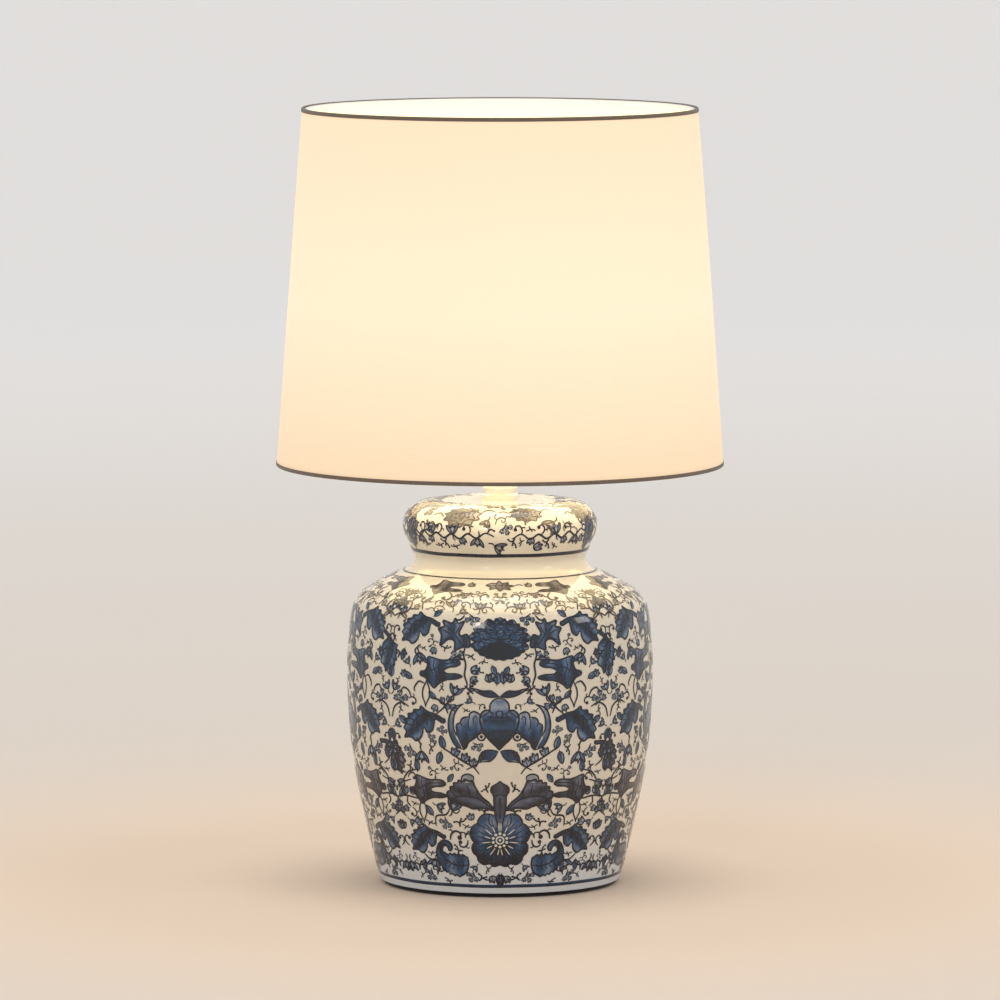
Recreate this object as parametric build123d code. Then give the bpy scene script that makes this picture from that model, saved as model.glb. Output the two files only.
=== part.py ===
from build123d import *
import math
import os

# Table lamp: a lidded ginger jar of glazed stoneware on a felt pad, clamped by a hollow
# threaded rod that also carries the lampholder, with a tapered drum shade and a screw-in bulb.
# Millimetres, +Z up, origin at the centre of the foot. +Y is the back, where the flex leaves.

# ---------------------------------------------------------------- driving dimensions
PAD_RADIUS = 78.3
PAD_HEIGHT = 3.0

# Jar: (radius, height) of the outside, foot to neck, then neck to rim.
JAR_OUTSIDE = [(80.6, PAD_HEIGHT), (82.4, 9.0), (90.1, 40.0), (98.2, 80.0), (102.2, 120.0), (102.5, 155.0),
               (100.6, 178.0), (96.6, 192.0), (87.0, 200.5), (75.0, 207.0), (62.5, 212.5)]
NECK_OUTSIDE = [(62.5, 212.5), (58.6, 216.5), (57.7, 220.5), (59.4, 225.2)]
JAR_WALL = 6.0
JAR_FLOOR_UNDERSIDE = 14.0
JAR_FLOOR_TOP = 21.0
FOOT_RING_INNER_RADIUS = 68.0
JAR_HOLE_RADIUS = 6.0

# Lid: (radius, height) of the outside, from its edge on the jar's rim to the flat round the collar.
LID_OUTSIDE = [(59.6, 225.2), (61.8, 231.0), (65.2, 241.0), (63.6, 249.0), (57.5, 255.2), (44.0, 258.4)]
LID_TOP = 258.5
LID_WALL = 5.0
LID_FLAT_RADIUS = 38.0
SPIGOT_OUTER_RADIUS = 49.5
SPIGOT_WALL = 4.0
SPIGOT_DEPTH = 7.0

# Flex inlet at the back of the jar.
INLET_HEIGHT = 32.0
INLET_HOLE_RADIUS = 5.5
GROMMET_BORE_RADIUS = 3.5
GROMMET_FLANGE_RADIUS = 8.0
GROMMET_INNER_FACE = 77.0
GROMMET_OUTER_FACE = 91.5

# Clamping rod, M10 x 1, hollow for the flex.
ROD_RADIUS = 5.0
ROD_BORE_RADIUS = 3.6
ROD_BOTTOM = 4.5
ROD_TOP = 277.0
ROD_PITCH = 1.0
ROD_THREAD_DEPTH = 0.45
ROD_FIT = 0.05
NUT_ACROSS_FLATS = 17.0
NUT_HEIGHT = 4.0
LOCK_WASHER_HEIGHT = 1.0
STEEL_WASHER_HEIGHT = 1.5
RUBBER_WASHER_HEIGHT = 2.0

# Turned collars between the lid and the lampholder.
SEAT_RADIUS = 12.2
SEAT_HEIGHT = 4.1
CHECK_RING_RADIUS = 11.3
CHECK_RING_HEIGHT = 4.0

# E27 lampholder.
CAP_TOP = 296.0
CAP_RADIUS = 20.5
CAP_WALL = 2.0
CAP_BOSS_RADIUS = 10.8
CAP_BOSS_HEIGHT = 8.5
INSERT_SEAT = 284.5
INSERT_FLANGE_HEIGHT = 4.5
INSERT_TOP = 291.0
INSERT_BOTTOM = 282.5
TERMINAL_OFFSET = 9.0
SLEEVE_RADIUS = 20.0
SLEEVE_TOP = 325.0
SOCKET_RADIUS = 13.5
SOCKET_FLOOR = 306.0

# Shade clamping rings on the sleeve.
RING_RADIUS = 25.5
RING_HEIGHT = 5.0
RING_FIT = 0.06
SHADE_GAP = 0.3

# Shade: a tapered drum.
SHADE_BOTTOM = 282.0
SHADE_TOP = 522.0
SHADE_BOTTOM_RADIUS = 150.0
SHADE_TOP_RADIUS = 132.5
FABRIC_THICKNESS = 0.5
LINER_THICKNESS = 0.5
EDGE_INSET = 0.4
TRIM_THICKNESS = 0.4
TRIM_OUTSIDE_WIDTH = 3.0
TRIM_INSIDE_WIDTH = 5.0
WIRE_RADIUS = 1.6
FITTER_BOTTOM = 304.9
FITTER_HEIGHT = 2.5
FITTER_OUTER_RADIUS = 29.0
FITTER_HOLE_RADIUS = 20.7
ARM_COUNT = 3
ARM_BEND_RADIUS_FROM_AXIS = 62.0
WELD_GAP = 0.2

# E27 bulb, opal, 60 mm across.
BULB_CONTACT_BOTTOM = 296.0
BULB_RADIUS = 30.0
BULB_TOP = 404.0
DOME_EDGE = 358.0
HOUSING_BOTTOM = 321.0
BULB_SCREW_CREST = 13.1
BULB_SCREW_DEPTH = 0.9
BULB_SCREW_PITCH = 3.629
BULB_SCREW_BOTTOM = 300.5
HOUSING_NECK_RADIUS = 12.9
HOUSING_WAIST = (16.4, 334.0)
INSULATOR_RADIUS = 9.4
TIP_RADIUS = 4.4
TIP_HEIGHT = 1.4
BOARD_HEIGHT = 1.5
BOARD_LEDGE_DEPTH = 3.5
LED_COUNT = 10

os.makedirs("parts", exist_ok=True)


# ---------------------------------------------------------------- helpers
def save(node, *solids):
    """Write one node; several like pieces stay separate solids in it."""
    shape = solids[0] if len(solids) == 1 else Compound(children=list(solids))
    shape.label = node
    export_step(shape, os.path.join("parts", node + ".step"))


def turned(*edges):
    """Turn a closed outline, drawn as (radius, height), about the lamp's axis."""
    outline = make_face(Plane.XZ * Wire(edges))
    return revolve(outline, Axis.Z).solid()


def turned_polygon(*points):
    """Turn a straight-sided outline of (radius, height) corners about the lamp's axis."""
    return turned(*Polyline(*points, close=True).edges())


def tube(outer, inner, bottom, top):
    """A plain ring between two heights; inner = 0 gives a disc."""
    if inner == 0:
        return turned_polygon((0, bottom), (outer, bottom), (outer, top), (0, top))
    return turned_polygon((inner, bottom), (outer, bottom), (outer, top), (inner, top))


def inward(points, distance):
    """Points moved off a (radius, height) curve towards the inside of the vessel."""
    moved = []
    for i in range(1, len(points) - 1):
        along_r = points[i + 1][0] - points[i - 1][0]
        along_z = points[i + 1][1] - points[i - 1][1]
        length = math.hypot(along_r, along_z)
        moved.append((points[i][0] - distance * along_z / length, points[i][1] + distance * along_r / length))
    return moved


def thread_edges(crest, depth, pitch, bottom, top):
    """Corner points of ring-shaped thread, bottom to top, at the crest radius between grooves."""
    points = []
    for turn in range(int((top - bottom) / pitch)):
        start = bottom + turn * pitch
        points.append((crest, start))
        points.append((crest - depth, start + pitch / 2))
    points.append((crest, bottom + int((top - bottom) / pitch) * pitch))
    return points


def shade_radius(height):
    """Outside radius of the shade's fabric at a height."""
    share = (height - SHADE_BOTTOM) / (SHADE_TOP - SHADE_BOTTOM)
    return SHADE_BOTTOM_RADIUS + share * (SHADE_TOP_RADIUS - SHADE_BOTTOM_RADIUS)


def cylinder_between(start, end, radius):
    """A round bar between two points."""
    axis = Vector(*end) - Vector(*start)
    plane = Plane(origin=start, z_dir=axis)
    return plane * Cylinder(radius, axis.length, align=(Align.CENTER, Align.CENTER, Align.MIN))


# ---------------------------------------------------------------- felt pad
def base_pad():
    return tube(PAD_RADIUS, 0, 0, PAD_HEIGHT)


# ---------------------------------------------------------------- jar
def jar_solid():
    """The thrown and glazed jar: foot ring, recessed floor, belly, shoulder and short neck."""
    rim_radius, rim_height = NECK_OUTSIDE[-1]
    inside_belly = inward(JAR_OUTSIDE, JAR_WALL)[1:]
    inside_neck = inward(NECK_OUTSIDE, JAR_WALL)
    foot = JAR_OUTSIDE[0]
    floor_corner = (JAR_OUTSIDE[1][0] - JAR_WALL - 2.0, JAR_FLOOR_TOP)
    neck_throat = inside_neck[0]
    lip = (neck_throat[0], rim_height)
    outside = Spline(JAR_OUTSIDE, tangents=[(0.25, 1), (-1, 0.35)])
    neck = Spline(NECK_OUTSIDE, tangents=[(-1, 0.6), (0.5, 1)])
    inside = Spline([neck_throat] + inside_belly[::-1] + [floor_corner], tangents=[(0, -1), (-0.7, -1)])
    return turned(
        outside,
        neck,
        Line((rim_radius, rim_height), lip),
        Line(lip, neck_throat),
        inside,
        Line(floor_corner, (JAR_HOLE_RADIUS, JAR_FLOOR_TOP)),
        Line((JAR_HOLE_RADIUS, JAR_FLOOR_TOP), (JAR_HOLE_RADIUS, JAR_FLOOR_UNDERSIDE)),
        Line((JAR_HOLE_RADIUS, JAR_FLOOR_UNDERSIDE), (FOOT_RING_INNER_RADIUS, JAR_FLOOR_UNDERSIDE)),
        Line((FOOT_RING_INNER_RADIUS, JAR_FLOOR_UNDERSIDE), (FOOT_RING_INNER_RADIUS, PAD_HEIGHT)),
        Line((FOOT_RING_INNER_RADIUS, PAD_HEIGHT), foot),
    )


def inlet_bar(radius):
    """A bar along Y on the flex inlet's axis, from the grommet's inner face to its outer face."""
    return cylinder_between((0, GROMMET_INNER_FACE, INLET_HEIGHT), (0, GROMMET_OUTER_FACE, INLET_HEIGHT), radius)


def cord_grommet(jar):
    """Rubber grommet: two flanges that follow the jar's wall, joined through the hole."""
    flanges = inlet_bar(GROMMET_FLANGE_RADIUS) - jar
    neck = inlet_bar(INLET_HOLE_RADIUS)
    return (flanges + neck - inlet_bar(GROMMET_BORE_RADIUS)).solid()


def jar_lid():
    """Domed lid: a shell whose spigot drops into the jar's neck."""
    edge = LID_OUTSIDE[0]
    shell_inside = inward(LID_OUTSIDE, LID_WALL)
    spigot_inner = SPIGOT_OUTER_RADIUS - SPIGOT_WALL
    spigot_bottom = edge[1] - SPIGOT_DEPTH
    flat_edge = (LID_FLAT_RADIUS, LID_TOP)
    underside = LID_TOP - LID_WALL
    ceiling_edge = (LID_FLAT_RADIUS, underside)
    outside = Spline(LID_OUTSIDE + [flat_edge], tangents=[(0.2, 1), (-1, 0)])
    spigot_root = (spigot_inner, edge[1] + LID_WALL)
    inside = Spline([ceiling_edge, shell_inside[3], shell_inside[2], shell_inside[1]], tangents=[(1, 0), (-0.2, -1)])
    shell_corner = (shell_inside[1][0] - 4.0, spigot_root[1])
    return turned(
        outside,
        Line(flat_edge, (JAR_HOLE_RADIUS, LID_TOP)),
        Line((JAR_HOLE_RADIUS, LID_TOP), (JAR_HOLE_RADIUS, underside)),
        Line((JAR_HOLE_RADIUS, underside), ceiling_edge),
        inside,
        Line(shell_inside[1], shell_corner),
        Line(shell_corner, spigot_root),
        Line(spigot_root, (spigot_inner, spigot_bottom)),
        Line((spigot_inner, spigot_bottom), (SPIGOT_OUTER_RADIUS, spigot_bottom)),
        Line((SPIGOT_OUTER_RADIUS, spigot_bottom), (SPIGOT_OUTER_RADIUS, edge[1])),
        Line((SPIGOT_OUTER_RADIUS, edge[1]), edge),
    )


# ---------------------------------------------------------------- rod and its fixings in the foot
def threaded_rod():
    """Hollow rod with rings of thread at both ends and a plain stretch between."""
    thread_length = 14.0
    chamfer = 0.5
    lower = thread_edges(ROD_RADIUS, ROD_THREAD_DEPTH, ROD_PITCH, ROD_BOTTOM + chamfer, ROD_BOTTOM + thread_length)
    upper = thread_edges(ROD_RADIUS, ROD_THREAD_DEPTH, ROD_PITCH, ROD_TOP - thread_length, ROD_TOP - chamfer)
    return turned_polygon(
        (ROD_BORE_RADIUS, ROD_BOTTOM),
        (ROD_RADIUS - chamfer, ROD_BOTTOM),
        *lower,
        *upper,
        (ROD_RADIUS - chamfer, ROD_TOP),
        (ROD_BORE_RADIUS, ROD_TOP),
    )


def foot_fixings():
    """Rubber washer, steel washer, toothed lock washer and nut, stacked down from the jar's floor."""
    bore = ROD_RADIUS + ROD_FIT
    rubber_bottom = JAR_FLOOR_UNDERSIDE - RUBBER_WASHER_HEIGHT
    steel_bottom = rubber_bottom - STEEL_WASHER_HEIGHT
    lock_bottom = steel_bottom - LOCK_WASHER_HEIGHT
    nut_bottom = lock_bottom - NUT_HEIGHT
    save("foot_washer_rubber", tube(20.0, ROD_RADIUS + 0.5, rubber_bottom, JAR_FLOOR_UNDERSIDE))
    save("foot_washer_steel", tube(17.0, ROD_RADIUS + 0.3, steel_bottom, rubber_bottom))

    lock_washer = tube(10.0, ROD_RADIUS + 0.2, lock_bottom, steel_bottom)
    notch = Pos(9.6, 0, (lock_bottom + steel_bottom) / 2) * Box(2.4, 1.6, 2 * LOCK_WASHER_HEIGHT)
    for angle in range(0, 360, 36):
        lock_washer -= Rot(0, 0, angle) * notch
    save("foot_lock_washer", lock_washer.solid())

    flats = extrude(RegularPolygon(NUT_ACROSS_FLATS / 2, 6, major_radius=False), NUT_HEIGHT)
    nut = Pos(0, 0, nut_bottom) * flats - tube(bore, 0, nut_bottom - 1, lock_bottom + 1)
    save("foot_nut", nut.solid())


# ---------------------------------------------------------------- collars above the lid
def seat_collar():
    """Turned disc that spreads the clamping force on the lid."""
    top = LID_TOP + SEAT_HEIGHT
    softened = 0.6
    return turned_polygon(
        (ROD_RADIUS + 0.3, LID_TOP),
        (SEAT_RADIUS, LID_TOP),
        (SEAT_RADIUS, top - softened),
        (SEAT_RADIUS - softened, top),
        (ROD_RADIUS + 0.3, top),
    )


def check_ring():
    """Round nut, screwed down on the seat collar."""
    bottom = LID_TOP + SEAT_HEIGHT
    return tube(CHECK_RING_RADIUS, ROD_RADIUS + ROD_FIT, bottom, bottom + CHECK_RING_HEIGHT)


# ---------------------------------------------------------------- lampholder
CAP_BOTTOM = LID_TOP + SEAT_HEIGHT + CHECK_RING_HEIGHT
SCREW_HEIGHT = CAP_BOTTOM + 4.5


def holder_cap():
    """Domed cap: threaded boss, bell-shaped flare and a straight skirt round the insert."""
    boss_top = CAP_BOTTOM + CAP_BOSS_HEIGHT
    inner_shelf = CAP_RADIUS - CAP_WALL - 2.0
    flare_top = INSERT_SEAT - 1.5
    body = turned(
        Line((ROD_RADIUS + ROD_FIT, CAP_BOTTOM), (CAP_BOSS_RADIUS, CAP_BOTTOM)),
        Line((CAP_BOSS_RADIUS, CAP_BOTTOM), (CAP_BOSS_RADIUS, boss_top - 2.5)),
        RadiusArc((CAP_BOSS_RADIUS, boss_top - 2.5), (CAP_RADIUS, flare_top), 14.0),
        Line((CAP_RADIUS, flare_top), (CAP_RADIUS, CAP_TOP)),
        Line((CAP_RADIUS, CAP_TOP), (CAP_RADIUS - CAP_WALL, CAP_TOP)),
        Line((CAP_RADIUS - CAP_WALL, CAP_TOP), (CAP_RADIUS - CAP_WALL, INSERT_SEAT)),
        Line((CAP_RADIUS - CAP_WALL, INSERT_SEAT), (inner_shelf, INSERT_SEAT)),
        Line((inner_shelf, INSERT_SEAT), (CAP_BOSS_RADIUS - 2.0, boss_top + 1.5)),
        Line((CAP_BOSS_RADIUS - 2.0, boss_top + 1.5), (ROD_RADIUS + ROD_FIT, boss_top + 1.5)),
        Line((ROD_RADIUS + ROD_FIT, boss_top + 1.5), (ROD_RADIUS + ROD_FIT, CAP_BOTTOM)),
    )
    screw_hole = cylinder_between((0, ROD_RADIUS - 1, SCREW_HEIGHT), (0, CAP_BOSS_RADIUS + 2, SCREW_HEIGHT), 1.55)
    return (body - screw_hole).solid()


def holder_grub_screw():
    """Slotted grub screw that stops the cap from turning on the rod."""
    tip = ROD_RADIUS + 0.1
    end = CAP_BOSS_RADIUS - 0.3
    screw = cylinder_between((0, tip, SCREW_HEIGHT), (0, end, SCREW_HEIGHT), 1.5)
    slot = Pos(0, end, SCREW_HEIGHT) * Box(3.2, 1.6, 0.5)
    return (screw - slot).solid()


def holder_insert():
    """Moulded disc that carries the contacts, held between the cap's shelf and the sleeve."""
    flange = tube(CAP_RADIUS - CAP_WALL - 0.15, 0, INSERT_SEAT, INSERT_SEAT + INSERT_FLANGE_HEIGHT)
    core = tube(14.5, 0, INSERT_BOTTOM, INSERT_TOP)
    body = flange + core
    for side in (-1, 1):
        screw_hole = cylinder_between((side * TERMINAL_OFFSET, 0, INSERT_BOTTOM - 1),
                                      (side * TERMINAL_OFFSET, 0, INSERT_TOP + 1), 1.6)
        wire_hole = cylinder_between((0, side * 8.0, INSERT_BOTTOM - 1), (0, side * 8.0, INSERT_TOP + 1), 1.8)
        body = body - screw_hole - wire_hole
    return body.solid()


def terminal_screw(side):
    """One cheese-head screw, put in from below, that clamps a conductor."""
    x = side * TERMINAL_OFFSET
    shank = cylinder_between((x, 0, INSERT_BOTTOM - 0.2), (x, 0, INSERT_TOP - 1.0), 1.5)
    head = cylinder_between((x, 0, INSERT_BOTTOM - 2.0), (x, 0, INSERT_BOTTOM - 0.1), 2.7)
    slot = Pos(x, 0, INSERT_BOTTOM - 2.0) * Box(6.0, 0.7, 1.4)
    return (shank + head - slot).solid()


def contact_center():
    """Sprung brass tongue under the bulb's tip."""
    top = BULB_CONTACT_BOTTOM - SHADE_GAP
    thickness = 0.5
    outline = make_face(Plane.XZ * Polyline(
        (-11.0, INSERT_TOP), (-6.0, INSERT_TOP), (2.5, top - thickness), (5.0, top - thickness),
        (5.0, top), (2.2, top), (-6.3, INSERT_TOP + thickness), (-11.0, INSERT_TOP + thickness), close=True))
    return extrude(outline, 3.0, both=True).solid()


def contact_side():
    """Brass strip that stands beside the bulb's screw shell."""
    thickness = 0.5
    outer = 15.0
    outline = make_face(Plane.XZ * Polyline(
        (10.0, INSERT_TOP), (outer, INSERT_TOP), (outer, 303.5), (outer - thickness, 303.5),
        (outer - thickness, INSERT_TOP + thickness), (10.0, INSERT_TOP + thickness), close=True))
    return extrude(outline, 2.5, both=True).solid()


def holder_sleeve():
    """Outer sleeve: a spigot inside the cap, a socket for the bulb and thread for the shade rings."""
    spigot_bottom = INSERT_SEAT + INSERT_FLANGE_HEIGHT
    spigot_radius = CAP_RADIUS - CAP_WALL - 0.15
    lower_bore = 16.5
    mouth = 1.2
    return turned_polygon(
        (lower_bore, spigot_bottom),
        (spigot_radius, spigot_bottom),
        (spigot_radius, CAP_TOP + 0.1),
        (SLEEVE_RADIUS, CAP_TOP + 0.1),
        (SLEEVE_RADIUS, SLEEVE_TOP),
        (SOCKET_RADIUS + mouth, SLEEVE_TOP),
        (SOCKET_RADIUS, SLEEVE_TOP - mouth),
        (SOCKET_RADIUS, SOCKET_FLOOR),
        (lower_bore, SOCKET_FLOOR),
    )


def shade_clamp_ring(bottom):
    """Ribbed plastic ring, screwed on the sleeve; two of them hold the shade's fitter."""
    ring = tube(RING_RADIUS, SLEEVE_RADIUS + RING_FIT, bottom, bottom + RING_HEIGHT)
    rib_count = 24
    for rib in range(rib_count):
        groove = Pos(RING_RADIUS + 0.5, 0, bottom + RING_HEIGHT / 2) * Cylinder(1.3, 2 * RING_HEIGHT)
        ring -= Rot(0, 0, rib * 360 / rib_count) * groove
    return ring.solid()


# ---------------------------------------------------------------- shade
def shade_shell(depth, thickness):
    """A conical layer of the shade, its outside set in from the fabric's outside by depth."""
    low = SHADE_BOTTOM + EDGE_INSET
    high = SHADE_TOP - EDGE_INSET
    return turned_polygon(
        (shade_radius(low) - depth, low),
        (shade_radius(high) - depth, high),
        (shade_radius(high) - depth - thickness, high),
        (shade_radius(low) - depth - thickness, low),
    )


def edge_trim(edge, direction):
    """Tape folded over an edge of the shade; direction is +1 at the bottom, -1 at the top."""
    layers = FABRIC_THICKNESS + LINER_THICKNESS
    outside_end = edge + direction * TRIM_OUTSIDE_WIDTH
    inside_end = edge + direction * TRIM_INSIDE_WIDTH
    fold = edge + direction * EDGE_INSET
    return turned_polygon(
        (shade_radius(edge) + TRIM_THICKNESS, edge),
        (shade_radius(outside_end) + TRIM_THICKNESS, outside_end),
        (shade_radius(outside_end), outside_end),
        (shade_radius(fold), fold),
        (shade_radius(fold) - layers, fold),
        (shade_radius(inside_end) - layers, inside_end),
        (shade_radius(inside_end) - layers - TRIM_THICKNESS, inside_end),
        (shade_radius(edge) - layers - TRIM_THICKNESS, edge),
    )


def wire_ring(height):
    """Round wire hoop inside the tape at an edge of the shade."""
    layers = FABRIC_THICKNESS + LINER_THICKNESS + TRIM_THICKNESS
    hoop_radius = shade_radius(height) - layers - WIRE_RADIUS - 0.15
    return Pos(0, 0, height) * Torus(hoop_radius, WIRE_RADIUS), hoop_radius


def fitter_ring():
    """Flat ring that sits between the two clamping rings."""
    return tube(FITTER_OUTER_RADIUS, FITTER_HOLE_RADIUS, FITTER_BOTTOM, FITTER_BOTTOM + FITTER_HEIGHT)


def spider_arm(angle, hoop_radius, hoop_height):
    """Bent wire from the fitter down to the bottom hoop."""
    level = FITTER_BOTTOM + FITTER_HEIGHT / 2
    inner = (FITTER_OUTER_RADIUS, 0, level)
    bend = (ARM_BEND_RADIUS_FROM_AXIS, 0, level)
    outer = (hoop_radius - WIRE_RADIUS - WELD_GAP, 0, hoop_height)
    arm = cylinder_between(inner, bend, WIRE_RADIUS) + cylinder_between(bend, outer, WIRE_RADIUS)
    arm += Pos(*bend) * Sphere(WIRE_RADIUS)
    return Rot(0, 0, angle) * arm.solid()


# ---------------------------------------------------------------- bulb
def bulb_dome():
    """Opal shell: most of a sphere, open at the bottom."""
    wall = 1.2
    centre = BULB_TOP - BULB_RADIUS
    inner_radius = BULB_RADIUS - wall
    edge_radius = math.sqrt(BULB_RADIUS ** 2 - (DOME_EDGE - centre) ** 2)
    inner_edge_radius = math.sqrt(inner_radius ** 2 - (DOME_EDGE - centre) ** 2)
    return turned(
        ThreePointArc((edge_radius, DOME_EDGE), (BULB_RADIUS, centre), (0, BULB_TOP)),
        Line((0, BULB_TOP), (0, BULB_TOP - wall)),
        ThreePointArc((0, BULB_TOP - wall), (inner_radius, centre), (inner_edge_radius, DOME_EDGE)),
        Line((inner_edge_radius, DOME_EDGE), (edge_radius, DOME_EDGE)),
    )


def bulb_housing():
    """Flared housing between the screw cap and the dome, with a ledge for the board."""
    wall = 1.5
    edge = math.sqrt(BULB_RADIUS ** 2 - (BULB_TOP - BULB_RADIUS - DOME_EDGE) ** 2)
    ledge = DOME_EDGE - BOARD_LEDGE_DEPTH
    ledge_inner = edge - 2 * wall
    neck = HOUSING_NECK_RADIUS
    waist_radius, waist_height = HOUSING_WAIST
    outside = Spline((neck, HOUSING_BOTTOM), HOUSING_WAIST, (edge, DOME_EDGE), tangents=[(0, 1), (0.62, 1)])
    inside = Spline((ledge_inner, ledge), (waist_radius - wall, waist_height), (neck - wall, HOUSING_BOTTOM),
                    tangents=[(-0.62, -1), (0, -1)])
    return turned(
        outside,
        Line((edge, DOME_EDGE), (edge - wall, DOME_EDGE)),
        Line((edge - wall, DOME_EDGE), (edge - wall, ledge)),
        Line((edge - wall, ledge), (ledge_inner, ledge)),
        inside,
        Line((neck - wall, HOUSING_BOTTOM), (neck, HOUSING_BOTTOM)),
    )


def led_board():
    """Round aluminium board that rests on the housing's ledge."""
    ledge = DOME_EDGE - BOARD_LEDGE_DEPTH
    return tube(22.5, 0, ledge, ledge + BOARD_HEIGHT)


def led_chips():
    """Light-emitting chips in a circle on the board."""
    chip_height = 0.8
    middle = DOME_EDGE - BOARD_LEDGE_DEPTH + BOARD_HEIGHT + chip_height / 2
    return [Rot(0, 0, index * 360 / LED_COUNT) * Pos(14.0, 0, middle) * Box(3.0, 2.8, chip_height)
            for index in range(LED_COUNT)]


def driver_board():
    """Upright board inside the housing."""
    return Pos(0, 0, 338.0) * Box(16.0, 1.6, 30.0)


def bulb_cap():
    """Thin screw shell, rolled into rounded rings at the thread's pitch, with a rim round the housing."""
    wall = 0.4
    turns = 5
    steps = 4
    middle = BULB_SCREW_CREST - BULB_SCREW_DEPTH / 2
    wave = [(middle - BULB_SCREW_DEPTH / 2 * math.cos(2 * math.pi * step / steps),
             BULB_SCREW_BOTTOM + step * BULB_SCREW_PITCH / steps)
            for step in range(turns * steps + 1)]
    inner = [(radius - wall, height) for radius, height in wave]
    rim_outer = HOUSING_NECK_RADIUS + 0.05 + wall
    rim_inner = HOUSING_NECK_RADIUS + 0.05
    rim_top = HOUSING_BOTTOM + 0.8
    shoulder = HOUSING_BOTTOM - 0.8
    shelf = HOUSING_BOTTOM - 0.1
    foot = BULB_SCREW_BOTTOM - 1.0
    return turned(
        Line((INSULATOR_RADIUS + 0.1, foot), wave[0]),
        Spline(wave, tangents=[(0, 1), (0, 1)]),
        Line(wave[-1], (wave[-1][0], shoulder)),
        Line((wave[-1][0], shoulder), (rim_outer, shoulder + wall)),
        Line((rim_outer, shoulder + wall), (rim_outer, rim_top)),
        Line((rim_outer, rim_top), (rim_inner, rim_top)),
        Line((rim_inner, rim_top), (rim_inner, shelf)),
        Line((rim_inner, shelf), (inner[-1][0], shelf)),
        Line((inner[-1][0], shelf), inner[-1]),
        Spline(inner[::-1], tangents=[(0, -1), (0, -1)]),
        Line(inner[0], (INSULATOR_RADIUS + 0.1, foot + wall)),
        Line((INSULATOR_RADIUS + 0.1, foot + wall), (INSULATOR_RADIUS + 0.1, foot)),
    )


def bulb_insulator():
    """Black glass ring between the shell and the tip contact."""
    bottom = BULB_CONTACT_BOTTOM + TIP_HEIGHT
    widest = BULB_SCREW_BOTTOM - 1.3
    top = BULB_SCREW_BOTTOM - 0.3
    return turned_polygon((0, bottom), (TIP_RADIUS + 0.6, bottom), (INSULATOR_RADIUS, widest),
                          (INSULATOR_RADIUS, top), (0, top))


def bulb_contact():
    """Rounded solder tip."""
    top = BULB_CONTACT_BOTTOM + TIP_HEIGHT
    shoulder = (0.64 * TIP_RADIUS, BULB_CONTACT_BOTTOM + 0.25 * TIP_HEIGHT)
    return turned(
        Line((0, top), (0, BULB_CONTACT_BOTTOM)),
        ThreePointArc((0, BULB_CONTACT_BOTTOM), shoulder, (TIP_RADIUS, top)),
        Line((TIP_RADIUS, top), (0, top)),
    )


# ---------------------------------------------------------------- build and write every node
save("base_pad", base_pad())
uncut_jar = jar_solid()
save("jar_body", (uncut_jar - inlet_bar(INLET_HOLE_RADIUS)).solid())
save("cord_grommet", cord_grommet(uncut_jar))
save("jar_lid", jar_lid())
foot_fixings()
save("threaded_rod", threaded_rod())
save("seat_collar", seat_collar())
save("check_ring", check_ring())

save("holder_cap", holder_cap())
save("holder_grub_screw", holder_grub_screw())
save("holder_insert", holder_insert())
save("terminal_screws", terminal_screw(-1), terminal_screw(1))
save("contact_center", contact_center())
save("contact_side", contact_side())
save("holder_sleeve", holder_sleeve())
save("shade_ring_lower", shade_clamp_ring(FITTER_BOTTOM - SHADE_GAP - RING_HEIGHT))
save("shade_ring_upper", shade_clamp_ring(FITTER_BOTTOM + FITTER_HEIGHT + SHADE_GAP))

save("fitter_ring", fitter_ring())
bottom_hoop_height = SHADE_BOTTOM + 0.6 + WIRE_RADIUS
top_hoop_height = SHADE_TOP - 0.6 - WIRE_RADIUS
bottom_hoop, bottom_hoop_radius = wire_ring(bottom_hoop_height)
top_hoop, top_hoop_radius = wire_ring(top_hoop_height)
save("bottom_wire_ring", bottom_hoop)
save("top_wire_ring", top_hoop)
for number in range(ARM_COUNT):
    arm_angle = 90 + number * 360 / ARM_COUNT
    save("spider_arm_" + str(number + 1), spider_arm(arm_angle, bottom_hoop_radius, bottom_hoop_height))
save("shade_fabric", shade_shell(0, FABRIC_THICKNESS))
save("shade_liner", shade_shell(FABRIC_THICKNESS, LINER_THICKNESS))
save("bottom_trim", edge_trim(SHADE_BOTTOM, 1))
save("top_trim", edge_trim(SHADE_TOP, -1))

save("bulb_dome", bulb_dome())
save("bulb_housing", bulb_housing())
save("led_board", led_board())
save("led_chips", *led_chips())
save("driver_board", driver_board())
save("bulb_cap", bulb_cap())
save("bulb_insulator", bulb_insulator())
save("bulb_contact", bulb_contact())
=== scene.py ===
"""Looks of the table lamp: a painted stoneware ginger jar under a plain cream drum shade, lit from inside."""

import math

import bpy
import numpy
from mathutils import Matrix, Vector
from mathutils.geometry import delaunay_2d_cdt


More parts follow.
